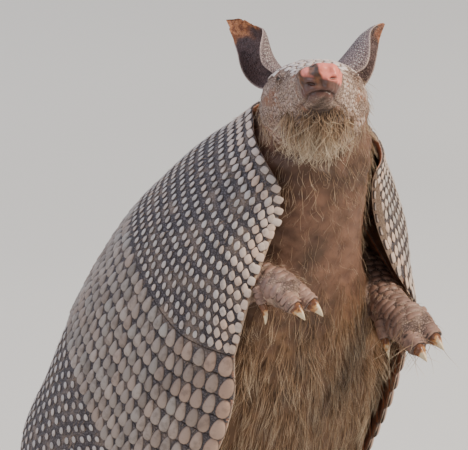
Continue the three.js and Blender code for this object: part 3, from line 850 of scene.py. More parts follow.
# ---------------------------------------------------------------- ears
@dataclass
class Ear:
    """Curled ear sheet standing on the head; its opening turns forward towards the tip."""

    base: Array
    axis: Array
    low_open: Array
    high_open: Array
    bend: Array
    rows: Rows
    length: float = 43.0
    thickness: float = 1.5
    ragged: float = 0.6
    slope: float = 0.0
    worn: float = 0.66
    sunk: float = 0.16

    def __post_init__(self) -> None:
        """Works out the sheet's direction and the curve of its half width and curl angle."""
        self.a = unit(self.axis)
        self.size = profile(self.rows)

    def opening(self, v: Array) -> Array:
        """Direction that the ear opens to, at a share of its length."""
        mixed = self.low_open + (self.high_open - self.low_open) * smooth(v, 0.1, 0.62)[..., None]
        return unit(mixed - self.a * (mixed @ self.a)[..., None])

    def middle(self, v: Array) -> Array:
        """Centre line of the ear's back, which bends as the square of the length."""
        return self.base + self.a * (self.length * v)[..., None] + self.bend * (v * np.abs(v))[..., None]

    def sheet(self, v: Array, u: Array) -> Array:
        """Middle of the sheet: an arc across, its radius the half width over its curl."""
        half, curl = np.moveaxis(self.size(v), -1, 0)
        radius = (half - 0.5) / np.radians(curl)
        turn = u * np.radians(curl)
        o = self.opening(v)
        p = self.middle(v) + np.cross(self.a, o) * (radius * np.sin(turn))[..., None]
        p = p + self.a * (self.slope * u * smooth(v, 0.4, 1.0))[..., None]
        return p + o * (radius * (1 - np.cos(turn)))[..., None]

    def surface(self, s: Array, u: Array, lift: Array | float) -> Array:
        """Point above the ear's outer face at distance s along it, u from edge to edge."""
        s, u = np.broadcast_arrays(np.asarray(s, float), np.asarray(u, float))
        v = s / self.length
        dv = self.sheet(v + 0.01, u) - self.sheet(v - 0.01, u)
        du = self.sheet(v, u + 0.01) - self.sheet(v, u - 0.01)
        half, curl = np.moveaxis(self.size(v), -1, 0)
        hub = self.middle(v) + self.opening(v) * (half / np.radians(curl))[..., None]
        n = unit(np.cross(dv, du))
        out = np.sum(n * (self.sheet(v, u) - hub), -1, keepdims=True)
        n *= np.where(out < 0, -1.0, 1.0)
        return self.sheet(v, u) + n * np.broadcast_to(lift, v.shape)[..., None]

    def shape(self, seed: int) -> Shape:
        """The ear as one closed sheet.

        Round each ring the lift is +-H sqrt(1 - |u|^6), so the edge is thin and rounded;
        the edge waves in and out by a small random ripple that grows to the tip.

        Args:
            seed: Picks the ripple.

        Returns:
            The ear, with numbers ear, hollow (1 inside), brink (1 at the tip) and rim (1 at the edge).
        """
        v = np.concatenate([np.linspace(-self.sunk, 0.9, 62), np.linspace(0.91, 1.0, 10)])
        u = np.sin(np.linspace(-np.pi / 2, np.pi / 2, 46))
        loop_u = np.concatenate([u, u[::-1][1:-1]])
        side = np.concatenate([np.ones(len(u)), -np.ones(len(u) - 2)])
        thin = np.sqrt(np.clip(1 - np.abs(loop_u) ** 6, 0, 1))
        vv, uu = np.meshgrid(v, loop_u, indexing="ij")
        wave = ripple(np.stack([vv * self.length, uu * 4, vv * 0], -1), 3.2, seed)
        grow = smooth(np.abs(uu), 0.55, 1.0) * smooth(vv, 0.2, 0.9) * self.ragged
        tip = np.sqrt(np.clip(1 - smooth(vv, 0.93, 1.0) ** 2, 0.02, 1))
        half = self.thickness / 2 * (1.15 - 0.45 * smooth(vv, 0.1, 1.0)) * thin * tip
        points = self.surface(vv * self.length, uu * (1 - 0.03 * grow * (1 + wave)), half * side - 0.8)
        points = points + self.a * (grow * wave * 0.9)[..., None]
        rib = ripple(points, 5.0, seed + 1) * 0.18 + ripple(points, 1.6, seed + 2) * 0.07
        points = points + self.opening(vv) * (rib * np.where(side < 0, 1.0, -0.3) * thin)[..., None]
        shape = tube(points)
        rim = smooth(np.abs(uu), 0.93, 1.0)
        worn = vv + 0.08 * ripple(points, 5, seed + 3) + 0.1 * smooth(np.abs(uu), 0.7, 1.0)
        edge = smooth(worn, self.worn, self.worn + 0.16)
        hollow = np.broadcast_to(side < 0, uu.shape).astype(float)
        for name, values in (("ear", uu * 0 + 1), ("hollow", hollow), ("brink", edge), ("rim", rim)):
            shape.data[name] = np.append(values.ravel(), [values[0].mean(), values[-1].mean()])
        return shape


# ---------------------------------------------------------------- skin
def swept(surface: Surface, stations: Array, around: int, lift: float) -> Shape:
    """Closed tube through a surface at the given stations."""
    t = np.linspace(0, 2 * np.pi, around, endpoint=False)
    return tube(surface(np.asarray(stations, float)[:, None], t[None], lift))


def rounded_end(surface: Surface, stations: Array, end: float, reach: float, lift: float) -> Shape:
    """Swept tube whose far end is rounded off: rings shrink as sqrt(1 - x^2) over reach."""
    t = np.linspace(0, 2 * np.pi, 28, endpoint=False)
    body = surface(np.asarray(stations, float)[:, None], t[None], lift)
    edge = surface(np.array([[end]]), t[None], lift)[0]
    inner = surface(np.array([[end - 1.0]]), t[None], lift)[0]
    middle, ahead = edge.mean(0), unit(edge.mean(0) - inner.mean(0))
    x = np.linspace(0.2, 0.97, 6)[:, None, None]
    cap = middle + (edge - middle)[None] * np.sqrt(1 - x**2) + ahead * reach * x
    cap[..., 2] = np.maximum(cap[..., 2], 0.25)
    return tube(np.concatenate([body, cap]))


@dataclass
class Body:
    """All soft parts of the animal: trunk, neck, head, four legs with toes, and tail."""

    trunk: Trunk
    head: Head
    arms: list[Limb]
    legs: list[Limb]
    feet: list[Limb]
    tail: Limb
    toes: list[Digit]

    def axes(self) -> list[tuple[str, Array, Array, Array, Array, float]]:
        """Centre lines of the parts: name, stations, centres, two cross directions, radius."""
        found = []
        s = np.linspace(0, self.trunk.end, 140)
        centre, left, dorsal, _ = self.trunk.spine(s)
        found.append(("trunk", s, centre, left, dorsal, 62.0))
        q = np.linspace(4, 98, 50)
        line = self.head.at(q, 0 * q, 0 * q)
        cross = (np.broadcast_to(axis, line.shape) for axis in (self.head.left, self.head.up))
        found.append(("head", q, line, *cross, 20.0))
        kinds = (("arm", self.arms, 128, 12.5), ("leg", self.legs, 120, 18), ("foot", self.feet, 84, 11))
        for kind, limbs, end, radius in kinds:
            for i, limb in enumerate(limbs):
                s = np.linspace(0, end, 60)
                centre, _, across, up, _ = limb.frame(s)
                found.append((f"{kind}{i}", s, centre, across, up, radius))
        return found

    def locate(self, points: Array) -> tuple[Array, Array, Array]:
        """Nearest part, station and angle of each point.

        The nearest centre line is the one whose distance over its own radius is least.

        Args:
            points: Places in millimetres.

        Returns:
            Index of the part in axes(), station fraction 0 to 1, and angle over 2 pi.
        """
        best = np.full(len(points), np.inf)
        part, along, angle = np.zeros(len(points), int), np.zeros(len(points)), np.zeros(len(points))
        for k, (_, s, centre, across, up, radius) in enumerate(self.axes()):
            i, far = nearest(points, centre)
            near = far / radius
            win = near < best
            away = points - centre[i]
            turn = np.arctan2(np.sum(away * across[i], -1), np.sum(away * up[i], -1))
            best, part = np.where(win, near, best), np.where(win, k, part)
            along = np.where(win, s[i] / s[-1], along)
            angle = np.where(win, turn / (2 * np.pi) + 0.5, angle)
        return part, along, angle

    def unwrap(self, points: Array) -> Array:
        """Places on the skin's own unwrap: one tile for each part, angle across, station up."""
        part, along, angle = self.locate(points)
        tiles = np.array(
            [
                (0.01, 0.01, 0.5, 0.6), (0.53, 0.01, 0.45, 0.3), (0.53, 0.33, 0.21, 0.28),
                (0.76, 0.33, 0.21, 0.28), (0.01, 0.63, 0.23, 0.34), (0.26, 0.63, 0.23, 0.34),
                (0.53, 0.63, 0.21, 0.34), (0.76, 0.63, 0.21, 0.34),
            ]
        )[part]
        return tiles[:, :2] + tiles[:, 2:] * np.stack([angle, along], -1)

    def neck(self, lift: float) -> Shape:
        """Neck: a cubic Bezier line between trunk and head, its wall blended from theirs."""
        t = np.linspace(0, 2 * np.pi, 72, endpoint=False)
        start = self.trunk.end + 0.3
        centre, _, _, ahead = self.trunk.spine(np.array(start))
        to = self.head.at(self.head.start, 0.0, 0.0)
        pull = np.linalg.norm(to - centre) / 3
        p0, p1, p2, p3 = centre, centre + ahead * pull, to - self.head.ahead * pull, to
        wall0 = self.trunk.flesh(np.full_like(t, start), t, lift) - centre
        wall1 = self.head.point(np.full_like(t, self.head.start), t, lift) - to
        v = np.linspace(0, 1, 14)[:, None]
        line = (1 - v) ** 3 * p0 + 3 * (1 - v) ** 2 * v * p1 + 3 * (1 - v) * v**2 * p2 + v**3 * p3
        rings = line[:, None] + wall0[None] * (1 - v[..., None]) + wall1[None] * v[..., None]
        first = p0 - ahead * 7 + wall0 * 0.96
        last = p3 + self.head.ahead * 7 + wall1 * 0.96
        return tube(np.concatenate([first[None], rings, last[None]]))

    def shells(self, coat: float) -> list[Shape]:
        """Closed overlapping tubes of all parts, drawn in by the depth of the coat."""
        trunk, head = self.trunk, self.head
        parts = [
            swept(trunk.flesh, np.linspace(1.5, trunk.end, 70), 110, -coat),
            self.neck(-coat * 0.8),
            swept(head.point, np.append(np.linspace(8, 94, 44), 96.5), 64, -0.6),
            swept(self.tail.point, np.linspace(0, 70, 20), 36, -1.6),
        ]
        parts += [rounded_end(a.point, np.linspace(0, 117, 50), 118, 6, -coat * 0.7) for a in self.arms]
        parts += [swept(leg.point, np.linspace(2, 119, 50), 40, -coat) for leg in self.legs]
        parts += [rounded_end(f.point, np.linspace(1, 69, 34), 70, 5, -0.6) for f in self.feet]
        for d in self.toes:
            parts.append(rounded_end(d.toe_face, np.linspace(-4, d.toe, 12), d.toe, d.radius * 0.35, -0.35))
        return parts


class FaceMap:
    """Fine shape of the head: muzzle, nose pad, nostrils, lips, lids, brows and folds."""

    def __init__(self, head: Head) -> None:
        """Keeps the head and its two eyes' directions."""
        self.head = head
        self.eyes = []
        for side in (RIGHT, LEFT):
            gaze = unit(head.inside(side * 0.93, 0.3, 0.2))
            along = unit(head.ahead - gaze * (head.ahead @ gaze))
            self.eyes.append((head.eye_centre(side), gaze, along, np.cross(gaze, along)))

    def settle(self, points: Array) -> Array:
        """Moves head points onto the smooth head, whose snout closes as a blunt dome.

        The scale of a point is F^(-1/n), where F adds the section's own superellipse
        measure, raised to n, and the distance past the snout's start over its depth,
        raised to n.

        Args:
            points: Places in millimetres.

        Returns:
            The places on the smooth head.
        """
        head = self.head
        q, left, up = head.coords(points)
        width, above, below = np.moveaxis(head.size(np.minimum(q, 95)), -1, 0)
        high = np.where(up < 0, below, above) - 0.6
        e = 2 / head.squareness
        section = (np.abs(left / (width - 0.6)) ** e + np.abs(up / high) ** e) ** (1 / e)
        start, depth, n = 86.0, head.length - 86.4, 3.2
        past = np.maximum(q - start, 0) / depth
        scale = (section**n + past**n) ** (-1 / n)
        scale = np.where(q < start, 1 / np.maximum(section, 0.05), scale)
        q2 = np.where(q > start, start + (q - start) * scale, q)
        return head.at(q2, left * scale, up * scale)

    def mouth_line(self, q: Array) -> Array:
        """Height of the mouth slit at a distance along the head."""
        return -11.4 + 2.7 * smooth(q, 84, 100)

    def relief(self, points: Array) -> tuple[Array, dict[str, Array]]:
        """Heights to add along the normal, and the masks that colour the head.

        Args:
            points: Places on the smooth head.

        Returns:
            Heights in millimetres, and the numbers nose, slit (painted shade in the nostrils and along the
            mouth line), dirt, lip and the painted shade under the jaw.
        """
        head = self.head
        q, left, up = head.coords(points)
        side = np.abs(left)
        height = 0.22 * ripple(points, 4.5, 3) * smooth(q, 20, 30) * (1 - smooth(q, 84, 92))
        front = smooth(q, 83, 90)
        pad = front * smooth(up + 0.22 * left, -3.6, -1.8)
        height += 0.7 * pad + (0.5 * ripple(points, 5.5, 31) + 0.3 * ripple(points, 2.2, 32)) * front
        height += 0.9 * bump(up, 3.5, 3) * bump(left, 5, 4.5) * smooth(q, 90, 96)
        # slit is painted shade: it darkens the nostril pits and, below, the mouth line
        slit = np.zeros_like(q)
        for s in (-1, 1):
            aside, rise = left - 0.3 - s * 5.9, up + 3.9 - 1.3 * s - 0.16 * s * (left - s * 5.9)
            pit = np.exp(-((np.hypot(aside * 0.5, rise * 1.3) / 1.15) ** 4)) * smooth(q, 90, 93)
            height += 0.5 * bump(rise, 1.7, 0.8) * bump(aside, 0, 2.8) * front - 1.3 * pit
            slit = np.maximum(slit, 0.75 * pit)
        groove = left + 1.6 + 0.45 * up + 0.8 * ripple(points, 5, 34)
        height -= 0.4 * bump(groove, 0, 1.3) * smooth(q, 91, 95) * smooth(up, -8.5, -7.5)
        gape = up - self.mouth_line(q)
        reach = smooth(q, 55, 63) * (0.35 + 0.65 * smooth(q, 84, 93))
        height -= 0.8 * bump(gape, 0, 0.45) * reach
        height += 0.45 * bump(gape, 1.5, 0.9) * reach + 0.5 * bump(gape, -1.5, 0.9) * reach
        # painted shade along the mouth line
        slit = np.maximum(slit, 0.75 * bump(gape, 0, 0.5) * reach)
        height += 0.9 * bump(q, 46, 6) * bump(up, 13, 3.2) * smooth(side, 8, 13)
        height += 1.0 * bump(q, 32, 11) * bump(up, -6, 7) * smooth(side, 15, 22)
        folds = np.sin(q * 1.15 + 2.2 * ripple(points, 14, 9)) * smooth(q, 14, 20) * (1 - smooth(q, 36, 46))
        height += 0.45 * folds * smooth(-up, 0, 9)
        whisker = np.sin(q * 1.5 + 1.5 * ripple(points, 8, 12)) * bump(q, 76, 10) * (1 - pad)
        height += 0.16 * whisker
        stain = bump(groove, -0.5, 2.4) * 1.5 + smooth(-left, -1, 6) * 0.8 + 0.8 * ripple(points, 4, 33)
        dirt = smooth(stain, 0.5, 1.5) * front * smooth(up, -8, -5)
        # painted shade under the jaw, below the mouth line
        chin = smooth(-gape + 0.8 * ripple(points, 4, 35), 1.0, 3.6) * smooth(q, 54, 64)
        nose = front * smooth(gape, -3.0, -0.5)
        return height, {"nose": nose, "slit": slit, "dirt": dirt, "lip": 1 - pad, "chin": chin}

    def lids(self, points: Array) -> tuple[Array, Array]:
        """Draws the skin over each eyeball as two lids with an almond slit between.

        In the eye's own directions, a point outside the almond |y| < Y (1 - (x / X)^2)
        is lifted to a sphere just over the ball, and one inside it sinks below the ball.

        Args:
            points: Places on the head.

        Returns:
            The new places, and a number that is 1 on the lids' edges.
        """
        moved, mask = points.copy(), np.zeros(len(points))
        radius = self.head.eye_radius
        for centre, gaze, along, rise in self.eyes:
            away = moved - centre
            near = (away @ gaze > -1) & (np.linalg.norm(away, axis=1) < 9)
            x, y, z = (away[near] @ axis for axis in (along, rise, gaze))
            ring = np.hypot(x, y)
            opening = np.abs(y + 0.15) - 1.4 * (1 - (x / 3.3) ** 2)
            inside = 1 - smooth(opening, -0.25, 0.2)
            lid = np.sqrt(np.maximum((radius + 0.75) ** 2 - ring**2, 0))
            pit = np.sqrt(np.maximum((radius - 0.9) ** 2 - ring**2, 0))
            edge = 0.35 * bump(opening, 0.35, 0.35) + 0.22 * bump(opening, 1.7, 0.4)
            crease = 0.4 * bump(opening, 1.1, 0.28) + 0.35 * bump(ring, 6.3, 0.6)
            top = np.where(ring < radius + 0.7, np.maximum(z, lid), z) + edge - crease
            z = top * (1 - inside) + np.minimum(pit, top) * inside
            moved[near] = centre + np.outer(x, along) + np.outer(y, rise) + np.outer(z, gaze)
            mask[near] = np.maximum(mask[near], bump(opening, 0.1, 0.6) * (ring < 6))
        return moved, mask


@dataclass
class Skin:
    """One skin over the whole animal, with the numbers that colour it."""

    body: Body
    ears: list[Ear]
    coat: float = 1.1
    voxel: float = 1.5
    relax: int = 5
    hidden_share: float = 0.12

    def fused(self, bench: Bench) -> bpy.types.Mesh:
        """All soft parts fused by a voxel remesh and relaxed, thinned under the armour.

        Args:
            bench: The bench, for its frame.

        Returns:
            The fused mesh in metres.
        """
        mesh = bench.mesh("skin_rough", Shape.join(self.body.shells(self.coat)))
        rough = bpy.data.objects.new("skin_rough", mesh)
        bpy.context.scene.collection.objects.link(rough)
        remesh = rough.modifiers.new("fuse", "REMESH")
        remesh.mode = "VOXEL"
        remesh.voxel_size = self.voxel * MM
        relax = rough.modifiers.new("relax", "SMOOTH")
        relax.factor = 0.5
        relax.iterations = self.relax
        fused = self.baked(rough)
        hidden = self.under_armour(self.points_of(fused, bench))
        second = bpy.data.objects.new("skin_thin", fused)
        bpy.context.scene.collection.objects.link(second)
        group = second.vertex_groups.new(name="hidden")
        group.add(np.nonzero(hidden)[0].tolist(), 1.0, "REPLACE")
        thin = second.modifiers.new("thin", "DECIMATE")
        thin.vertex_group = "hidden"
        thin.ratio = 1 - float(np.mean(hidden)) * (1 - self.hidden_share)
        made = self.baked(second)
        for old in (rough, second):
            bpy.data.objects.remove(old)
        return made

    @staticmethod
    def baked(piece: bpy.types.Object) -> bpy.types.Mesh:
        """The piece's mesh with its modifiers applied, as a new mesh."""
        view = bpy.context.evaluated_depsgraph_get()
        return bpy.data.meshes.new_from_object(piece.evaluated_get(view), depsgraph=view)

    @staticmethod
    def points_of(mesh: bpy.types.Mesh, bench: Bench) -> Array:
        """The mesh's points in the maker's millimetres."""
        co = np.empty(len(mesh.vertices) * 3)
        mesh.vertices.foreach_get("co", co)
        return (co.reshape(-1, 3) - bench.shift) / MM

    def under_armour(self, points: Array) -> Array:
        """Whether a place is well under the armour, where nothing can be seen."""
        s = np.linspace(0, self.body.trunk.end, 190)
        centre, left, dorsal, _ = self.body.trunk.spine(s)
        i, far = nearest(points, centre)
        away = points - centre[i]
        turn = np.arctan2(np.abs(np.sum(away * left[i], -1)), np.sum(away * dorsal[i], -1))
        deep = (np.degrees(turn) < 88) & (s[i] > 16) & (s[i] < 268)
        return deep & (far < self.body.trunk.armour_size(s[i])[:, :2].max(1) + 2)

    def refined(self, mesh: bpy.types.Mesh, bench: Bench) -> bpy.types.Mesh:
        """Splits faces where finer shape is needed: the head once, its face again, the eyes again."""
        head = self.body.head
        work = bmesh.new()
        work.from_mesh(mesh)
        for level in range(3):
            work.to_mesh(mesh)
            points = self.points_of(mesh, bench)
            q, left, up = head.coords(points)
            on_head = (np.hypot(left, up) < 36) & (q > 16) & (q < 110)
            to_eye = [np.linalg.norm(points - head.eye_centre(side), axis=1) for side in (RIGHT, LEFT)]
            near_eye = np.min(to_eye, axis=0) < 7.5
            wanted = (on_head, on_head & (q > 40), near_eye | (on_head & (q > 88)))[level]
            ends = np.empty(len(mesh.edges) * 2, np.int32)
            mesh.edges.foreach_get("vertices", ends)
            work.edges.ensure_lookup_table()
            edges = [work.edges[i] for i in np.nonzero(wanted[ends.reshape(-1, 2)].all(1))[0]]
            bmesh.ops.subdivide_edges(work, edges=edges, cuts=1, use_grid_fill=True, smooth=0.0)
        many = [f for f in work.faces if len(f.verts) > 4]
        bmesh.ops.triangulate(work, faces=many)
        work.to_mesh(mesh)
        work.free()
        return mesh

    def settle(self, mesh: bpy.types.Mesh, bench: Bench) -> Shape:
        """Gives the fused mesh its fine relief and its masks.

        Args:
            mesh: The refined mesh.
            bench: The bench, for its frame.

        Returns:
            The skin without its ears.
        """
        mesh.calc_loop_triangles()
        tris = np.empty(len(mesh.loop_triangles) * 3, np.int32)
        mesh.loop_triangles.foreach_get("vertices", tris)
        tris = tris.reshape(-1, 3)
        points = self.points_of(mesh, bench)
        head, face = self.body.head, FaceMap(self.body.head)
        q, left, up = head.coords(points)
        on_head = smooth(q, 17, 26) * (np.hypot(left, up) < 38) * (q < 112)
        points += (face.settle(points) - points) * on_head[:, None]
        for _ in range(2):
            points = self.relaxed(points, tris, on_head * (1 - smooth(q, 84, 90)) * 0.5)
        height, masks = face.relief(points)
        part, along, _ = self.body.locate(points)
        names = [row[0] for row in self.body.axes()]
        belongs = {n: (part == k).astype(float) for k, n in enumerate(names)}
        trunk = belongs["trunk"]
        limb = sum(belongs[n] for n in names if n not in ("trunk", "head"))
        relief = height * on_head
        creases = np.sin(points[:, 2] * 0.55 + 2.5 * ripple(points, 26, 21)) * ripple(points, 18, 22)
        relief += 0.55 * creases * trunk * smooth(along, 0.55, 0.75)
        relief += 0.35 * ripple(points, 7, 23) * trunk + 0.18 * ripple(points, 2.8, 24) * trunk
        rings = np.sin(along * 120 * 1.1 + 1.4 * ripple(points, 10, 25))
        relief += 0.28 * rings * limb * smooth(along, 0.25, 0.5) * (points[:, 2] > 20)
        relief += 0.2 * ripple(points, 3.2, 26) * limb
        points += self.normals(points, tris) * relief[:, None]
        points, lid = face.lids(points)
        points[:, 2] = np.maximum(points[:, 2], 0.05)
        shade = {name: mask * on_head for name, mask in masks.items()}
        # crease is painted shade wherever the relief sinks; the lid edges join slit as painted shade in the
        # eye openings
        shade |= {
            "face": on_head, "slit": np.maximum(shade["slit"], 0.55 * lid), "limb": limb,
            "chest": trunk * smooth(along, 0.66, 0.8), "crease": np.clip(-relief * 1.4, 0, 1),
        }
        return Shape(points, tris=tris, data=shade)

    @staticmethod
    def relaxed(points: Array, tris: Array, share: Array) -> Array:
        """Moves each point towards the mean of its neighbours by its share."""
        ends = np.concatenate([tris[:, [0, 1]], tris[:, [1, 2]], tris[:, [2, 0]]])
        total = np.zeros_like(points)
        count = np.bincount(ends[:, 0], minlength=len(points)).astype(float)
        for k in range(3):
            total[:, k] = np.bincount(ends[:, 0], points[ends[:, 1], k], len(points))
        mean = total / np.maximum(count, 1)[:, None]
        return points + (mean - points) * (share * (count > 0))[:, None]

    @staticmethod
    def normals(points: Array, tris: Array) -> Array:
        """Unit normal of each point: the sum of its triangles' area vectors."""
        a, b, c = (points[tris[:, k]] for k in range(3))
        area = np.cross(b - a, c - a)
        total = np.zeros_like(points)
        for k in range(3):
            for axis in range(3):
                total[:, axis] += np.bincount(tris[:, k], area[:, axis], len(points))
        return unit(total)

    def make(self, bench: Bench) -> Shape:
        """The whole skin with its ears."""
        mesh = self.refined(self.fused(bench), bench)
        shape = self.settle(mesh, bench)
        bpy.data.meshes.remove(mesh)
        return Shape.join([shape] + [ear.shape(40 + 7 * k) for k, ear in enumerate(self.ears)])


# ---------------------------------------------------------------- hair
@dataclass(frozen=True)
class HairPatch:
    """One growth of hair: how many strands, how long and thick, and how they lie."""

    name: str
    count: int
    length: tuple[float, float]
    thickness: float
    lift: tuple[float, float]
    droop: float
    curl: float
    joints: int = 6
    pale: float = 0.5
    clump: int = 1


def strands(patch: HairPatch, root: Array, normal: Array, flow: Array, unwrapped: Array, seed: int) -> Shape:
    """Grows solid tapering strands from given roots.

    A strand starts at its lift angle above the skin in the direction it lies, sinks
    towards the skin as u^2 times its droop, and curls sideways as a sine; its thickness
    falls as (1 - u)^0.7. Its section is a triangle.

    Args:
        patch: The growth.
        root: Places of the roots in millimetres.
        normal: Unit normals of the skin there.
        flow: Directions in which the hair lies there.
        unwrapped: Places of the roots on the skin's unwrap.
        seed: Picks lengths, swings and tones.

    Returns:
        The strands, with numbers tip and tone and their bake patches.
    """
    rng = np.random.default_rng(seed)
    n = len(root)
    flow = flow + rng.normal(0, 0.2, root.shape)
    flow = unit(flow - normal * np.sum(flow * normal, -1, keepdims=True))
    side = np.cross(normal, flow)
    length = rng.uniform(*patch.length, n) * rng.uniform(0.7, 1.0, n)
    lift = np.radians(rng.uniform(*patch.lift, n))[:, None]
    swing = rng.normal(0, patch.curl, (n, 2))
    wave = rng.uniform(0, 2 * np.pi, n)[:, None]
    u = np.linspace(0, 1, patch.joints)[None]
    ahead = length[:, None] * u * np.cos(lift)
    height = length[:, None] * np.sin(lift) * (u - patch.droop * u**2)
    sway = swing[:, :1] * u**2 + swing[:, 1:] * 0.35 * (np.sin(u * 4.5 + wave) - np.sin(wave))
    line = (root - normal * 0.35)[:, None] + flow[:, None] * ahead[..., None]
    line = line + normal[:, None] * height[..., None]
    line = line + side[:, None] * (length[:, None] * sway)[..., None]
    if patch.clump > 1:
        lead = rng.choice(n, n // patch.clump, replace=False)
        own = lead[nearest(root, root[lead])[0]]
        line = line + (line[own] - line) * 0.75 * (u**1.6)[..., None]
    line[..., 2] = np.maximum(line[..., 2], 0.3)
    thick = patch.thickness * rng.uniform(0.7, 1.15, n)[:, None] * (1 - u * 0.97) ** 0.7
    turn = np.arange(3) * 2 * np.pi / 3
    across = side[:, None] * np.cos(turn)[:, None] + normal[:, None] * np.sin(turn)[:, None]
    points = line[:, :, None] + across[:, None] * thick[:, :, None, None]
    per = patch.joints * 3
    quads = grid(patch.joints, 3, True)
    caps = np.array([[2, 1, 0], [per - 3, per - 2, per - 1]])
    offset = (np.arange(n) * per)[:, None, None]
    tone = np.clip(rng.normal(patch.pale, 0.22, n), 0, 1)
    along = np.repeat(np.linspace(-1, 1, patch.joints), 3)
    spread = np.stack([np.tile(np.cos(turn), patch.joints), along], -1)
    LOG.info("%s: %d hairs", patch.name, n)
    return Shape(
        points.reshape(-1, 3),
        (quads[None, :, ::-1] + offset).reshape(-1, 4),
        (caps[None, :, ::-1] + offset).reshape(-1, 3),
        {"tip": np.tile(np.repeat(u[0], 3), n), "tone": np.repeat(tone, per)},
        (unwrapped[:, None] + PATCH * spread[None]).reshape(-1, 2),
    )


@dataclass
class Coat:
    """Hair rooted in the skin."""

    skin: Shape
    body: Body
    seed: int = 5

    def __post_init__(self) -> None:
        """Works out the skin's normals and the part, station and angle of its points."""
        quads = self.skin.quads
        self.tris = np.concatenate([self.skin.tris, quads[:, [0, 1, 2]], quads[:, [0, 2, 3]]])
        self.normals = Skin.normals(self.skin.points, self.tris)
        self.part, self.along, angle = self.body.locate(self.skin.points)
        self.from_belly = 360 * (0.5 - np.abs(angle - 0.5))
        self.names = [row[0] for row in self.body.axes()]

    def on(self, *parts: str) -> Array:
        """1 where a skin point belongs to one of the named parts, else 0."""
        wanted = [k for k, n in enumerate(self.names) if n in parts]
        return np.isin(self.part, wanted).astype(float) * (1 - self.skin.data["ear"])

    def grow(self, patch: HairPatch, density: Array, lie: Curve) -> Shape:
        """Grows one patch of hair on the skin.

        Args:
            patch: The growth.
            density: Number for each point of the skin.
            lie: Directions in which hair at given places lies.

        Returns:
            The strands.
        """
        seed = self.seed + patch.count
        rng = np.random.default_rng(seed)
        points = self.skin.points
        a, b, c = (points[self.tris[:, k]] for k in range(3))
        weight = np.linalg.norm(np.cross(b - a, c - a), axis=1) * density[self.tris].mean(1)
        pick = rng.choice(len(self.tris), patch.count, p=weight / weight.sum())
        x, y = rng.random((2, patch.count))
        x, y = np.where(x + y > 1, 1 - x, x), np.where(x + y > 1, 1 - y, y)
        w = np.stack([1 - x - y, x, y], -1)[..., None]
        root = (points[self.tris[pick]] * w).sum(1)
        normal = unit((self.normals[self.tris[pick]] * w).sum(1))
        return strands(patch, root, normal, lie(root), self.body.unwrap(root), seed)


# ---------------------------------------------------------------- finishes
def tint(code: str) -> tuple[float, float, float, float]:
    """Turns an sRGB hex colour to linear red, green, blue and alpha."""
    raw = np.array([int(code[k : k + 2], 16) for k in (1, 3, 5)]) / 255
    linear = np.where(raw <= 0.04045, raw / 12.92, ((raw + 0.055) / 1.055) ** 2.4)
    return (*(float(x) for x in linear), 1.0)


def add_node(
    tree: bpy.types.NodeTree, kind: str, settings: dict[str, object] | None = None,
    values: dict[int | str, object] | None = None, links: dict[int | str, Socket] | None = None,
) -> bpy.types.Node:
    """Adds a node to a tree.

    Args:
        tree: The tree.
        kind: The node's type.
        settings: The node's own properties.
        values: Input sockets and the constants to put in them.
        links: Input sockets and the outputs to join to them.

    Returns:
        The new node.
    """
    node = tree.nodes.new(kind)
    for key, value in (settings or {}).items():
        setattr(node, key, value)
    for key, value in (values or {}).items():
        node.inputs[key].default_value = value
    for key, output in (links or {}).items():
        tree.links.new(output, node.inputs[key])
    return node


class Palette:
    """Works colours and patterns together in one material's tree."""

    def __init__(self, tree: bpy.types.NodeTree) -> None:
        """Keeps the tree and its object coordinates."""
        self.tree = tree
        self.place = add_node(tree, "ShaderNodeTexCoord").outputs["Object"]

    def number(self, name: str) -> Socket:
        """The piece's own number of that name."""
        return add_node(self.tree, "ShaderNodeAttribute", {"attribute_name": name}).outputs["Fac"]

    def noise(self, size: float, detail: float = 3.0, rough: float = 0.55) -> Socket:
        """Cloudy pattern with features of a size in millimetres."""
        values = {"Scale": 0.5 / (size * MM), "Detail": detail, "Roughness": rough}
        return add_node(self.tree, "ShaderNodeTexNoise", {}, values, {"Vector": self.place}).outputs["Fac"]

    def cells(self, size: float, feature: str = "DISTANCE_TO_EDGE") -> Socket:
        """Cell pattern, cells of a size in millimetres: distance to edge, or to the middle."""
        values, links = {"Scale": 1 / (size * MM)}, {"Vector": self.place}
        node = add_node(self.tree, "ShaderNodeTexVoronoi", {"feature": feature}, values, links)
        return node.outputs["Distance"]

    def span(self, source: Socket, low: float, high: float, to: tuple[float, float] = (0.0, 1.0)) -> Socket:
        """Maps low..high of a number smoothly to another range, clamped."""
        values = {"From Min": low, "From Max": high, "To Min": to[0], "To Max": to[1]}
        kind = {"interpolation_type": "SMOOTHSTEP"}
        return add_node(self.tree, "ShaderNodeMapRange", kind, values, {"Value": source}).outputs["Result"]

    def cloud(self, size: float, detail: float, low: float, high: float, most: float = 1.0) -> Socket:
        """Blotches of a size in millimetres: noise mapped from low..high to 0..most."""
        return self.span(self.noise(size, detail), low, high, (0.0, most))

    def sums(self, how: str, a: Socket, b: Socket | float) -> Socket:
        """Two numbers added, multiplied or otherwise combined."""
        values, links = ({1: b}, {0: a}) if isinstance(b, float) else ({}, {0: a, 1: b})
        return add_node(self.tree, "ShaderNodeMath", {"operation": how}, values, links).outputs[0]

    def blend(self, share: Socket, a: Socket | str, b: Socket | str) -> Socket:
        """Two colours mixed by a share; a colour may be given as hex."""
        values, links = {}, {0: share}
        for key, colour in ((6, a), (7, b)):
            if isinstance(colour, str):
                values[key] = tint(colour)
            else:
                links[key] = colour
        return add_node(self.tree, "ShaderNodeMix", {"data_type": "RGBA"}, values, links).outputs[2]

    def relief(self, height: Socket, depth: float, over: Socket | None = None) -> Socket:
        """Bump of a depth in millimetres, laid over another bump if given."""
        links = {"Height": height} if over is None else {"Height": height, "Normal": over}
        return add_node(self.tree, "ShaderNodeBump", {}, {"Distance": depth * MM}, links).outputs["Normal"]


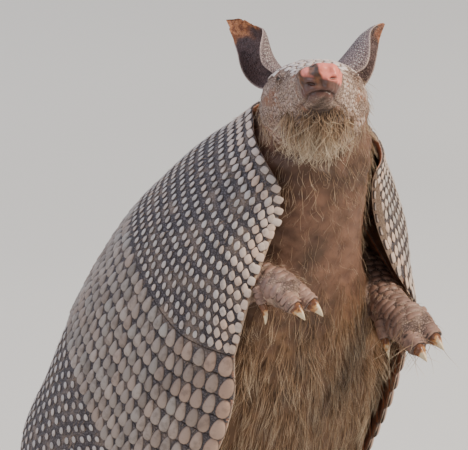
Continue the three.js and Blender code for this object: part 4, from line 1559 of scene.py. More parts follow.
@dataclass(frozen=True)
class Finish:
    """A material made of nodes; each kind of finish draws its own colour and bump."""

    name: str = "finish"
    roughness: float = 0.6
    ior: float = 1.5
    coat: float = 0.0
    coat_roughness: float = 0.25

    def material(self) -> bpy.types.Material:
        """The finish's material, made once."""
        found = bpy.data.materials.get(self.name)
        if found is not None:
            return found
        made = bpy.data.materials.new(self.name)
        made.use_nodes = True
        tree = made.node_tree
        shader = tree.nodes["Principled BSDF"]
        shader.inputs["IOR"].default_value = self.ior
        shader.inputs["Roughness"].default_value = self.roughness
        shader.inputs["Coat Weight"].default_value = self.coat
        shader.inputs["Coat Roughness"].default_value = self.coat_roughness
        for key, output in self.shade(Palette(tree)).items():
            tree.links.new(output, shader.inputs[key])
        return made

    def shade(self, mix: Palette) -> dict[str, Socket]:
        """Outputs to join to the shader, by the names of its inputs."""
        raise NotImplementedError


@dataclass(frozen=True)
class ScuteHorn(Finish):
    """Worn keratin over bone: dull pale faces, darker grimy seams, pinker near the rims."""

    name: str = "scute_horn"
    roughness: float = 0.55
    pale: str = "#bab2ae"
    dull: str = "#8f8986"
    warm: str = "#d0ad94"
    seam: str = "#3d302c"
    grime: str = "#5f5049"

    def shade(self, mix: Palette) -> dict[str, Socket]:
        """Tone picks a scute's colour; its outermost ring is dark; grain is 0.7 mm."""
        colour = mix.blend(mix.number("tone"), self.pale, self.dull)
        colour = mix.blend(mix.number("warm"), colour, self.warm)
        colour = mix.blend(mix.cloud(2.2, 4, 0.45, 0.72, 0.45), colour, self.grime)
        colour = mix.blend(mix.cloud(16, 3, 0.5, 0.8, 0.35), colour, self.grime)
        colour = mix.blend(mix.span(mix.number("rise"), 0.8, 1.0), colour, self.seam)
        grain = mix.noise(0.7, 4, 0.65)
        rough = mix.span(grain, 0.3, 0.8, (0.42, 0.72))
        return {"Base Color": colour, "Roughness": rough, "Normal": mix.relief(grain, 0.16)}


@dataclass(frozen=True)
class ArmourGround(Finish):
    """Slate-dark horn between the scutes, broken into tiny plates; bare hide inside."""

    name: str = "armour_ground"
    slate: str = "#575054"
    dark: str = "#30292b"
    hide: str = "#a8755a"
    hide_dark: str = "#6e4535"
    brink: str = "#b39a86"
    glow: str = "#d98d68"

    def shade(self, mix: Palette) -> dict[str, Socket]:
        """Little plates are 1.5 mm cells with dark joints; the inner face is pink hide."""
        cell = mix.cells(1.5)
        colour = mix.blend(mix.span(cell, 0.02, 0.16), self.dark, self.slate)
        colour = mix.blend(mix.cloud(5, 4, 0.45, 0.75, 0.4), colour, self.brink)
        skin = mix.blend(mix.cloud(9, 3, 0.35, 0.7), self.hide, self.hide_dark)
        skin = mix.blend(mix.span(mix.number("forward"), 0.93, 0.99), skin, self.glow)
        colour = mix.blend(mix.number("inside"), colour, skin)
        colour = mix.blend(mix.span(mix.number("brink"), 0.55, 1.0), colour, self.brink)
        return {"Base Color": colour, "Normal": mix.relief(mix.span(cell, 0.0, 0.25), 0.3)}


@dataclass(frozen=True)
class BareHide(Finish):
    """Thin hide: brown and matt on trunk, pinkish scaly on face and limbs, moist pink nose."""

    name: str = "bare_hide"
    belly: str = "#66492f"
    belly_dark: str = "#3d2818"
    chest: str = "#6a4a38"
    face: str = "#a38c7e"
    face_joint: str = "#5c4437"
    face_ruddy: str = "#8a5f49"
    limb: str = "#846c62"
    limb_joint: str = "#4c3a34"
    limb_pale: str = "#b49784"
    nose: str = "#e5806f"
    nose_dark: str = "#a0503c"
    lip: str = "#5c3d35"
    # painted shade under the jaw
    chin: str = "#3d281c"
    soil: str = "#6b4023"
    soil_dark: str = "#3f2a1e"
    ear: str = "#8d7b7a"
    ear_joint: str = "#4b3c3e"
    ear_rim: str = "#c2aca4"
    ear_inside: str = "#57403e"
    ear_deep: str = "#3b2827"
    ear_brink: str = "#b5764c"
    ear_rust: str = "#7a4527"
    # painted shade in the nostrils, the mouth line and the eye openings
    slit: str = "#3a1f17"
    # painted shade in the skin's sunken creases; also the colour of the pores
    crease: str = "#4a2f24"

    def shade(self, mix: Palette) -> dict[str, Socket]:
        """Masks choose the colour, with painted shade in creases, slits and under the jaw; pebbles are 1.35
        mm cells on face and limbs, 1.1 mm on the ears.
        """
        wide, fine = mix.noise(14, 4), mix.noise(1.8, 4)
        pebble = mix.span(mix.cells(1.35), 0.02, 0.2)
        colour = mix.blend(mix.span(wide, 0.35, 0.68), self.belly, self.belly_dark)
        chest = mix.blend(mix.span(wide, 0.4, 0.66), self.chest, self.belly_dark)
        colour = mix.blend(mix.number("chest"), colour, chest)
        pores = mix.span(mix.cells(2.6, "F1"), 0.28, 0.1, (0.0, 0.55))
        colour = mix.blend(pores, colour, self.crease)
        limb = mix.blend(pebble, self.limb_joint, self.limb)
        limb = mix.blend(mix.cloud(7, 3, 0.42, 0.7), limb, self.limb_pale)
        face = mix.blend(pebble, self.face_joint, self.face)
        face = mix.blend(mix.cloud(5, 3, 0.5, 0.72), face, self.face_ruddy)
        ear = mix.blend(mix.span(mix.cells(1.1), 0.02, 0.2), self.ear_joint, self.ear)
        inner = mix.blend(mix.span(fine, 0.4, 0.7), self.ear_inside, self.ear_deep)
        ear = mix.blend(mix.number("hollow"), ear, inner)
        ear = mix.blend(mix.sums("MULTIPLY", mix.number("rim"), 0.7), ear, self.ear_rim)
        tip = mix.blend(mix.cloud(1.3, 4, 0.4, 0.6), self.ear_brink, self.ear_rust)
        ear = mix.blend(mix.number("brink"), ear, tip)
        nose = mix.blend(mix.cloud(2.4, 4, 0.45, 0.75, 0.75), self.nose, self.nose_dark)
        nose = mix.blend(mix.number("lip"), nose, self.lip)
        soil = mix.blend(mix.span(fine, 0.4, 0.6), self.soil, self.soil_dark)
        nose = mix.blend(mix.number("dirt"), nose, soil)
        # the jaw's underside takes its painted shade here
        parts = (("limb", limb), ("face", face), ("ear", ear), ("nose", nose), ("chin", self.chin))
        for mask, part in parts:
            colour = mix.blend(mix.number(mask), colour, part)
        # painted shade where the skin's relief sinks
        colour = mix.blend(mix.sums("MULTIPLY", mix.number("crease"), 0.7), colour, self.crease)
        # painted shade in the nostrils, the mouth line and the eye openings
        colour = mix.blend(mix.number("slit"), colour, self.slit)
        grain = mix.relief(mix.noise(1.1, 5, 0.65), 0.22)
        scaly = mix.sums("MAXIMUM", mix.number("limb"), mix.number("face"))
        scaly = mix.sums("MAXIMUM", scaly, mix.number("ear"))
        height = mix.sums("MULTIPLY", pebble, mix.sums("SUBTRACT", scaly, mix.number("nose")))
        rough = mix.span(mix.number("nose"), 0.0, 1.0, (0.64, 0.4))
        return {"Base Color": colour, "Roughness": rough, "Normal": mix.relief(height, 0.3, grain)}


@dataclass(frozen=True)
class BlondHair(Finish):
    """Coarse guard hair: brown at the root, straw-blond and slightly glossy at the tip."""

    name: str = "blond_hair"
    roughness: float = 0.45
    root: str = "#6d5238"
    middle: str = "#ab8c6e"
    tip: str = "#ecdabf"
    shadow: str = "#523a29"

    def shade(self, mix: Palette) -> dict[str, Socket]:
        """The colour runs from root to tip and is paler or browner strand by strand."""
        colour = mix.blend(mix.span(mix.number("tip"), 0.0, 0.35), self.root, self.middle)
        colour = mix.blend(mix.span(mix.number("tip"), 0.35, 1.0), colour, self.tip)
        colour = mix.blend(mix.span(mix.number("tone"), 0.75, 0.1, (0.0, 0.75)), colour, self.shadow)
        return {"Base Color": mix.blend(mix.cloud(3, 3, 0.4, 0.7, 0.25), colour, self.shadow)}


@dataclass(frozen=True)
class ClawHorn(Finish):
    """Horn claw: brown and ragged at the root, translucent ivory to the tip, finely lined."""

    name: str = "claw_horn"
    roughness: float = 0.38
    coat: float = 0.15
    root: str = "#6b4128"
    amber: str = "#b07c4a"
    ivory: str = "#d6c3a0"

    def shade(self, mix: Palette) -> dict[str, Socket]:
        """Root, amber and ivory follow the claw's length; lines are 0.5 mm grain."""
        ragged = mix.span(mix.noise(1.4, 3), 0.2, 0.8, (-0.25, 0.25))
        along = mix.sums("ADD", mix.number("along"), ragged)
        colour = mix.blend(mix.span(along, 0.22, 0.34), self.root, self.amber)
        colour = mix.blend(mix.span(along, 0.36, 0.6), colour, self.ivory)
        grain = mix.noise(0.5, 3)
        colour = mix.blend(mix.span(grain, 0.5, 0.75, (0.0, 0.35)), colour, self.amber)
        return {"Base Color": colour, "Normal": mix.relief(grain, 0.1)}


@dataclass(frozen=True)
class WetEye(Finish):
    """Dark wet eye: nearly black, with a sharp highlight."""

    name: str = "wet_eye"
    roughness: float = 0.08
    ior: float = 1.38
    coat: float = 0.6
    black: str = "#0b0706"
    brown: str = "#22150f"

    def shade(self, mix: Palette) -> dict[str, Socket]:
        """Brown-black with a faint 2 mm cloud."""
        return {"Base Color": mix.blend(mix.cloud(2, 3, 0.4, 0.7), self.black, self.brown)}


@dataclass(frozen=True)
class PaleFloor(Finish):
    """Plain pale studio floor, matt with a faint cloud."""

    name: str = "pale_floor"
    roughness: float = 0.85
    light: str = "#d9d6d0"
    dusty: str = "#d2cfc9"

    def shade(self, mix: Palette) -> dict[str, Socket]:
        """Two close pale greys mixed by a 300 mm cloud."""
        return {"Base Color": mix.blend(mix.cloud(300, 2, 0.3, 0.7), self.light, self.dusty)}


FACE_HORN = ScuteHorn(
    "face_horn", pale="#dccfc8", dull="#86726a", warm="#ba9884", seam="#644a3b", grime="#7d675b"
)
BAND_HORN = ScuteHorn(
    "band_horn", pale="#9f9791", dull="#746a64", warm="#b08f7c", seam="#291c16", grime="#55463d"
)
PAW_HORN = ScuteHorn(
    "paw_horn", pale="#97796d", dull="#5d463e", warm="#9c7a69", seam="#2f1c16", grime="#503a32"
)


# ---------------------------------------------------------------- armour and its scutes
OVAL = ScuteCut(10, 1.0)
DIAMOND = ScuteCut(12, 1.35, ((1.0, -0.45), (0.94, 0.5), (0.7, 0.95)))
LEAF = ScuteCut(14, 0.92, ((1.0, -0.5), (0.86, 0.3), (0.58, 0.9)))
TILE = ScuteCut(12, 0.6, ((1.0, -0.45), (0.95, 0.6), (0.7, 1.0)))
PEBBLE = ScuteCut(7, 0.85, ((1.0, -0.4), (0.7, 0.85)))
BROAD = ScuteCut(20, 0.7, ((1.0, -0.45), (0.95, 0.6), (0.7, 1.0)))
TILE_OF_PLATE = (0.01, 0.01, 0.97, 0.97)


def sunk(surface: Surface, depth: float) -> Surface:
    """The surface a depth lower, in which scutes are bedded."""
    return lambda s, t, lift: surface(s, t, lift - depth)


def bed(
    station: Array, angle: Array | float, length: Array | float, width: Array | float,
    rng: np.random.Generator, height: float = 0.7, slant: Array | float = 0.0,
    taper: Array | float = 0.15, tone: Array | float = 0.25, warm: Array | float = 0.0,
) -> ScuteBed:
    """A bed of scutes with a little random change in place, size and tone.

    Args:
        station: Stations of the scutes' middles.
        angle: Angles of their middles.
        length: Half lengths in millimetres.
        width: Half widths in millimetres.
        rng: Random source.
        height: Height of the domes.
        slant: Sideways shear.
        taper: Narrowing towards the front.
        tone: 0 pale to 1 dull.
        warm: 0 grey to 1 pinkish.

    Returns:
        The bed.
    """
    n = len(station)
    return ScuteBed(
        station + rng.normal(0, 0.07, n),
        angle + rng.normal(0, 0.002, n),
        length * rng.normal(1, 0.05, n),
        width * rng.normal(1, 0.05, n),
        height * rng.uniform(0.85, 1.15, n),
        slant + rng.normal(0, 0.03, n),
        taper + rng.normal(0, 0.05, n),
        np.clip(tone + rng.normal(0, 0.2, n), 0, 1),
        np.clip(warm + rng.normal(0, 0.12, n), 0, 1),
    )


@dataclass
class Armour:
    """Scapular shield, nine bands and pelvic shield, each a slab with scutes laid on it."""

    trunk: Trunk
    bands: int = 9
    seed: int = 11
    shield_pitch: float = 4.05
    shield_row: float = 5.4
    rump_pitch: float = 6.4
    rump_row: float = 6.9
    band_pitch: float = 5.2
    band_edge_pitch: float = 9.0
    trim_pitch: float = 5.8
    trim_step: float = 6.0
    trim_inset: float = 1.9
    trim_half: float = 2.25
    bedding: float = 0.62

    def __post_init__(self) -> None:
        """Makes the plates between the armour's margins."""
        shoulder_front = margin(
            [(0, 279), (30, 283), (52, 286), (75, 284), (96, 280.5), (116, 275.5), (125, 268), (130, 259)],
            [(0, 279), (30, 283), (52, 286), (75, 285), (116, 284), (152, 282)],
        )
        shoulder_rear = margin(
            [
                (0, 214), (55, 212), (69, 210.5), (80, 206.5), (88, 203), (94, 198.5), (101, 194.5),
                (110, 192), (130, 195),
            ]
        )
        pelvis_front = margin(
            [
                (0, 146), (45, 143), (64, 138), (75, 133), (83, 128.5), (89, 122.5), (99, 110.5),
                (112, 95), (135, 82),
            ]
        )
        pelvis_rear = margin([(0, 3), (60, 4), (100, 10), (120, 20)])

        def between(i: int) -> Curve:
            """Margin i of the bands, an even share of the way forward."""
            return lambda a: pelvis_front(a) + (shoulder_rear(a) - pelvis_front(a)) * i / self.bands

        self.shoulder = Plate(
            "scapular_shield", self.trunk, shoulder_rear, shoulder_front, 1.0, 0.2, free=1.0
        )
        self.pelvis = Plate("pelvic_shield", self.trunk, pelvis_rear, pelvis_front, free=0.0)
        self.rings = [
            Plate(f"band_{self.bands - i}", self.trunk, between(i), between(i + 1), 1.0)
            for i in range(self.bands)
        ]

    def field(
        self, plate: Plate, pitch: float, row: float, rng: np.random.Generator
    ) -> tuple[ScuteBed, ScuteBed]:
        """Staggered scutes all over a shield: apart and oval inside, close diamonds at its edges.

        Args:
            plate: The shield.
            pitch: Distance across between scutes.
            row: Distance between rows.
            rng: Random source.

        Returns:
            The ovals and the diamonds.
        """
        fore = plate is self.shoulder
        low, high = (1.4, 4.6) if fore else (4.6, 1.8)
        reach = float(plate.depth(np.array(1.0)))
        clear = reach - low - high
        count = round(clear / row)
        # half length and half width in shares of the pitches, and what closeness adds to them
        oval = (0.33 + 0.07 * fore, 0.28 + 0.045 * fore, 0.16, 0.16)
        diamond = (0.47, 0.4, 0.09, 0.1)
        ovals, diamonds = [], []
        for i in range(count):
            v = (low + clear * (i + 0.5) / count) / reach
            a, _, gaps = plate.row(v, pitch, pitch * 1.25, 0.5 * (i % 2) + 0.42)
            s = plate.station(a, np.full_like(a, v))
            width = self.trunk.armour_size(s)[..., 0]
            limit = np.where(a < 0, -plate.rim_angle(v, -1), plate.rim_angle(v, 1))
            inner = (limit - np.abs(a)) * width
            close = np.maximum(np.exp(-inner / 15), fore * np.exp(-(plate.front(a) - s) / 13))
            near = smooth(close, 0.12, 0.55)
            gap = plate.depth(a) * clear / reach / count
            tone = 0.55 - 0.25 * smooth(np.abs(a), 0.0, 0.9) - 0.25 * near
            warm, lean = 0.05 + 0.45 * near**2, -0.12 * np.sign(a)
            for k, found, size in ((near <= 0.3, ovals, oval), (near > 0.3, diamonds, diamond)):
                length = gap[k] * (size[0] + size[2] * near[k])
                wide = gaps[k] * (size[1] + size[3] * near[k])
                looks = (0.8, lean[k], 0.12, tone[k], warm[k])
                found.append(bed(s[k], a[k] + np.pi, length, wide, rng, *looks))
        return ScuteBed.join(ovals), ScuteBed.join(diamonds)

    def trim(self, plate: Plate, rng: np.random.Generator) -> ScuteBed:
        """Large squarish scutes along a shield's rims and its outer margin, head or tail end."""
        reach = float(plate.depth(np.array(1.0)))
        fore = plate is self.shoulder
        v = 1 - self.trim_inset / reach if fore else self.trim_inset / reach
        a, _, gaps = plate.row(v, self.trim_pitch, self.trim_pitch, 0.0)
        s = plate.station(a, np.full_like(a, v))
        beds = [bed(s, a + np.pi, self.trim_half, gaps * 0.47, rng, 0.75, 0.0, 0.03, 0.08, 0.4)]
        clear = reach - self.trim_step
        count = round(clear / self.trim_step)
        v = ((1.2 if fore else 3.6) + clear * (np.arange(count) + 0.5) / count) / reach
        arcs = [plate.arc(x) for x in v]
        for side in (RIGHT, LEFT):
            inset = [self.trim_inset if side == RIGHT else arc[-1] - self.trim_inset for _, arc in arcs]
            a = np.array([np.interp(d, arc, turn) for d, (turn, arc) in zip(inset, arcs)])
            s = plate.station(a, v)
            half = plate.depth(a) * clear / reach / count * 0.47
            beds.append(bed(s, a + np.pi, half, self.trim_half, rng, 0.75, 0.0, 0.03, 0.08, 0.45))
        return ScuteBed.join(beds)

    def band_bed(self, plate: Plate, rng: np.random.Generator) -> ScuteBed:
        """One band's scutes: a row of leaf-like ones, broad and pinkish at the rims."""
        a, edge, gaps = plate.row(0.5, self.band_pitch, self.band_edge_pitch, 0.0)
        full = plate.depth(a)
        end = np.exp(-edge / 18)
        s = plate.rear(a) + full * (0.49 - 0.04 * end)
        scuff = ripple(np.stack([a * 60, s, s * 0], -1), 16, 77)
        tone = 0.36 + 0.5 * smooth(scuff, 0.2, 0.9)
        warm = np.clip(0.12 + 0.88 * end, 0, 1)
        length, width = full * (0.53 - 0.02 * end), gaps * (0.49 + 0.01 * end)
        lean = np.sign(a) * (-0.12 + 0.1 * end)
        return bed(s, a + np.pi, length, width, rng, 1.0, lean, 0.46 - 0.32 * end, tone, warm)

    def build(self, bench: Bench, horn: Finish, ground: Finish) -> None:
        """Makes every plate and its scutes."""
        rng = np.random.default_rng(self.seed)
        for plate, pitch, row, rows in (
            (self.shoulder, self.shield_pitch, self.shield_row, 44),
            (self.pelvis, self.rump_pitch, self.rump_row, 76),
        ):
            bench.piece(plate.name, plate.slab(rows), ground, Slot.SHIELD, (plate.name,), weld=True)
            beds = (*self.field(plate, pitch, row, rng), self.trim(plate, rng))
            face = sunk(plate.surface, self.bedding)
            laid = [one.lay(face, cut, TILE_OF_PLATE) for one, cut in zip(beds, (OVAL, DIAMOND, TILE))]
            bench.piece(f"{plate.name}_scutes", Shape.join(laid), horn, Slot.SHIELD)
        for plate in self.rings:
            bench.piece(plate.name, plate.slab(9), ground, Slot.BAND, (plate.name,), weld=True)
            laid = self.band_bed(plate, rng).lay(sunk(plate.surface, self.bedding), LEAF, TILE_OF_PLATE)
            bench.piece(f"{plate.name}_scutes", laid, BAND_HORN, Slot.BAND)


# ---------------------------------------------------------------- head, limb and tail scales
def arc_row(surface: Surface, station: float, low: float, high: float, pitch: float, shift: float) -> Array:
    """Angles at even arc lengths along one section, from low to high.

    Args:
        surface: The surface.
        station: The section's station.
        low: First angle.
        high: Last angle.
        pitch: Distance between the scales, mm.
        shift: 0 or 0.5 of a pitch.

    Returns:
        The angles.
    """
    t = np.linspace(low, high, 181)
    p = surface(np.full_like(t, station), t, 0.0)
    arc = np.concatenate([[0], np.cumsum(np.linalg.norm(np.diff(p, axis=0), axis=1))])
    count = max(1, round(arc[-1] / pitch))
    at = (np.arange(count) + 0.5 + 0.5 * (shift - 0.25)) / count * arc[-1]
    return np.interp(at[at < arc[-1]], arc, t)


def scale_rows(
    surface: Surface, stations: Array, low: Array | float, high: Array | float, pitch: Array | float,
    fill: tuple[float, float], rng: np.random.Generator, **looks: float,
) -> ScuteBed:
    """Staggered rows of scales over a stretch of a surface.

    Args:
        surface: The surface.
        stations: Stations of the rows.
        low: First angle of each row.
        high: Last angle of each row.
        pitch: Distance between the scales of each row, mm.
        fill: Share of the pitch that half a scale takes along and across.
        rng: Random source.
        **looks: Passed on to bed().

    Returns:
        The bed.
    """
    beds = []
    rows = np.broadcast_arrays(stations, np.gradient(stations), low, high, pitch)
    for i, (s, step, first, last, size) in enumerate(zip(*rows)):
        t = arc_row(surface, s, first, last, size, 0.5 * (i % 2))
        beds.append(bed(np.full(len(t), s), t, step * fill[0], size * fill[1], rng, **looks))
    return ScuteBed.join(beds)


@dataclass
class HeadDress:
    """Plates of the head shield, scales of muzzle and cheeks, ear pebbles and the eyes."""

    head: Head
    ears: list[Ear]
    seed: int = 23

    def plates(self) -> Shape:
        """Forehead shield of polygonal plates, smaller ones down the muzzle, and cheek scales.

        The shield is wide between the ears and narrow between the eyes. The cheek scales are painted paler
        on the lit left side and duller on the shaded right side.
        """
        rng = np.random.default_rng(self.seed)
        face = sunk(self.head.point, 0.85)
        rows = np.linspace(17, 60, 10)
        half = np.radians(np.interp(rows, [15, 26, 40, 50, 62], [50, 58, 56, 46, 50]))
        shield = scale_rows(
            face, rows, np.pi - half, np.pi + half, np.interp(rows, [15, 60], [5.4, 4.2]), (0.5, 0.47), rng,
            height=0.95, taper=0.1, tone=0.05, warm=0.1,
        )
        half = np.radians(62)
        muzzle = scale_rows(
            face, np.linspace(64, 86, 7), np.pi - half, np.pi + half, 3.3, (0.5, 0.46), rng,
            height=0.7, tone=0.15, warm=0.3,
        )
        laid = [
            shield.lay(face, TILE, (0.01, 0.01, 0.5, 0.3)), muzzle.lay(face, TILE, (0.01, 0.35, 0.5, 0.2)),
        ]
        rows = np.linspace(18, 76, 23)
        lower = np.radians(np.interp(rows, [18, 40, 60], [38, 46, 50]))
        upper = np.radians(np.interp(rows, [18, 38, 43, 58, 64], [118, 112, 92, 92, 112]))
        for k, side in enumerate((RIGHT, LEFT)):
            low, high = np.sort([side * lower, side * upper], axis=0)
            # tone by side: painted light on the left cheek, painted shade on the right
            cheek = scale_rows(
                face, rows, low, high, np.interp(rows, [18, 76], [3.0, 2.5]), (0.54, 0.49), rng,
                height=0.45, tone=0.72 - 0.25 * side, warm=0.4,
            )
            laid.append(cheek.lay(face, PEBBLE, (0.01 + 0.5 * k, 0.6, 0.45, 0.35)))
        return Shape.join(laid)

    def pebbles(self) -> Shape:
        """Small round scales on the outer faces of the ears."""
        rng = np.random.default_rng(self.seed + 1)
        laid = []
        for k, ear in enumerate(self.ears):
            outer = sunk(ear.surface, 0.3)
            rows = scale_rows(
                outer, np.linspace(1.5, 38, 21), -0.86, 0.86, 1.75, (0.34, 0.35), rng,
                height=0.34, tone=0.75, warm=0.0,
            )
            laid.append(rows.lay(outer, PEBBLE, (0.02 + 0.5 * k, 0.02, 0.45, 0.9)))
        return Shape.join(laid)

    def eyeball(self, side: float) -> Shape:
        """One eyeball: a fine sphere at its place in the head."""
        head = self.head
        t = np.linspace(0, 2 * np.pi, 40, endpoint=False)
        p = np.linspace(0.05, np.pi - 0.05, 24)[:, None]
        r = head.eye_radius - 0.02
        ring = np.sin(p)[..., None] * (np.cos(t)[:, None] * head.ahead + np.sin(t)[:, None] * head.up)
        return tube(head.eye_centre(side) + r * (ring + np.cos(p)[..., None] * head.left))

    def build(self, bench: Bench, horn: Finish, eye: Finish) -> None:
        """Makes the plates, the pebbles and the eyes."""
        bench.piece("head_plates", self.plates(), FACE_HORN, Slot.HEAD)
        bench.piece("ear_pebbles", self.pebbles(), horn, Slot.HEAD)
        for name, side in (("eye_right", RIGHT), ("eye_left", LEFT)):
            bench.piece(name, self.eyeball(side), eye, Slot.EYE, (name,), weld=True)


@dataclass
class LimbDress:
    """Scales of the four limbs, broad plates on the toes, and the claws."""

    body: Body
    fore: list[list[Digit]]
    hind: list[list[Digit]]
    seed: int = 31

    def scales(self) -> Shape:
        """Rows of small overlapping scales on the upper sides of forearms, shanks and feet."""
        rng = np.random.default_rng(self.seed)
        laid = []

        def cover(
            limb: Limb, depth: float, rows: Array, half: float, pitch: Array | float,
            fill: tuple[float, float], cut: ScuteCut, corner: tuple[float, float], **looks: float,
        ) -> None:
            """Covers one stretch of a limb with scales, half degrees to each side."""
            face, limit = sunk(limb.point, depth), np.radians(half)
            scales = scale_rows(face, rows, -limit, limit, pitch, fill, rng, taper=-0.15, **looks)
            laid.append(scales.lay(face, cut, (*corner, 0.22, 0.45)))

        for k, arm in enumerate(self.body.arms):
            s = np.linspace(56, 116, 16)
            cover(
                arm, 1.15, s, 118, 6.4 + 5.2 * (s > 92), (0.56, 0.5), LEAF, (0.01 + 0.25 * k, 0.01),
                height=0.85, tone=0.5, warm=0.4,
            )
        for k, (leg, foot) in enumerate(zip(self.body.legs, self.body.feet)):
            left = 0.51 + 0.25 * k
            cover(
                leg, 1.5, np.linspace(44, 112, 20), 130, 4.2, (0.5, 0.45), PEBBLE, (left, 0.01),
                height=0.7, tone=0.5, warm=0.35,
            )
            cover(
                foot, 1.0, np.linspace(6, 70, 19), 80, 3.9, (0.52, 0.46), PEBBLE, (left, 0.5),
                height=0.75, tone=0.45, warm=0.4,
            )
        return Shape.join(laid)

    def toe_plates(self) -> Shape:
        """Broad transverse plates across the back of every toe."""
        rng = np.random.default_rng(self.seed + 1)
        laid = []
        for k, toe in enumerate([d for feet in (self.fore, self.hind) for hand in feet for d in hand]):
            face = sunk(toe.toe_face, 0.45)
            plates = bed(
                np.arange(-1.5, toe.toe + 0.4, 3.3), np.pi, 1.9, toe.radius * 1.5, rng, height=0.9,
                taper=-0.05, tone=0.3, warm=0.5,
            )
            column, row = k % 6, k // 6
            laid.append(plates.lay(face, BROAD, (0.02 + 0.16 * column, 0.02 + 0.24 * row, 0.12, 0.2)))
        return Shape.join(laid)

    def build(self, bench: Bench, claw: Finish) -> None:
        """Makes the scales, the toe plates and the claws."""
        bench.piece("limb_scales", self.scales(), PAW_HORN, Slot.BODY)
        bench.piece("toe_plates", self.toe_plates(), PAW_HORN, Slot.BODY)
        for kind, feet in (("foreclaw", self.fore), ("hindclaw", self.hind)):
            for side, hand in zip(("right", "left"), feet):
                for i, digit in enumerate(hand):
                    name = f"{kind}_{side}_{i + 1}"
                    bench.piece(name, digit.claw_shape(), claw, Slot.CLAW, (name,), weld=True)


@dataclass
class TailArmour:
    """Tail in rings: each stands proud at its rear edge and carries two rows of scutes."""

    tail: Limb
    cuts: tuple[tuple[str, float, float], ...] = (
        ("tail_base", 0.3, 61.5), ("tail_middle", 61.5, 146.0), ("tail_end", 146.0, 232.0),
        ("tail_tip", 232.0, 322.0),
    )
    ring: float = 15.0
    step: float = 0.9
    sunk: float = 0.7
    seed: int = 41

    def rises(self, start: float, end: float) -> tuple[int, Surface]:
        """Number of rings between two cuts, and the stepped face over them.

        The height grows from 0 at a ring's front edge to the step at its rear edge, and
        drops back over the last tenth of the ring.
        """
        count = round((end - start) / self.ring)
        each = (end - start) / count

        def face(s: Array, t: Array, lift: Array | float) -> Array:
            """Point above the stepped face."""
            x = np.clip((s - start) / each, 0, count - 1e-6) % 1.0
            saw = smooth(x, 0, 0.5) * (1 - smooth(x, 0.93, 1.0))
            rise = self.step * (1 - np.asarray(s) / 330) * saw
            return self.tail.point(s, t, lift + rise - self.sunk)

        return count, face

    def top(self, face: Surface, station: float) -> float:
        """Angle at which a section of the tail stands highest, to the nearest 5 degrees."""
        around = np.linspace(-np.pi, np.pi, 73)
        return float(around[face(np.full_like(around, station), around, 0.0)[:, 2].argmax()])

    def build(self, bench: Bench, horn: Finish, ground: Finish) -> None:
        """Makes each length of tail and its scutes."""
        rng = np.random.default_rng(self.seed)
        for name, start, end in self.cuts:
            count, face = self.rises(start, end)
            each = (end - start) / count
            last = name == "tail_tip"
            s = np.linspace(start, end, count * 14 + 1)
            core = rounded_end(face, s, end, 1.6, 0.0) if last else swept(face, s, 48, 0.0)
            core.data = {key: np.zeros(len(core.points)) for key in ("brink", "inside")}
            bench.piece(name, core, ground, Slot.TAIL, (name,), weld=True)
            limit = np.radians(176 if last else 128)
            laid = []
            for i in range(count):
                size = float(self.tail.frame(np.array(start + each * (i + 0.5)))[4][0])
                pitch = max(1.9, min(4.8, size * 0.36))
                for at, half, wide in ((0.3, 0.2, 0.42), (0.7, 0.24, 0.45)):
                    row = start + each * (i + at)
                    top = self.top(face, row)
                    t = arc_row(face, row, top - limit, top + limit, pitch, 0.5 * (at > 0.5))
                    scutes = bed(
                        np.full(len(t), row), t, each * half, pitch * wide, rng, height=0.62,
                        taper=-0.15, tone=0.45 - 0.25 * (at > 0.5), warm=0.15,
                    )
                    laid.append(scutes.lay(face, OVAL, (0.01, 0.01 + 0.97 * i / count, 0.97, 0.97 / count)))
            bench.piece(f"{name}_scutes", Shape.join(laid), horn, Slot.TAIL)


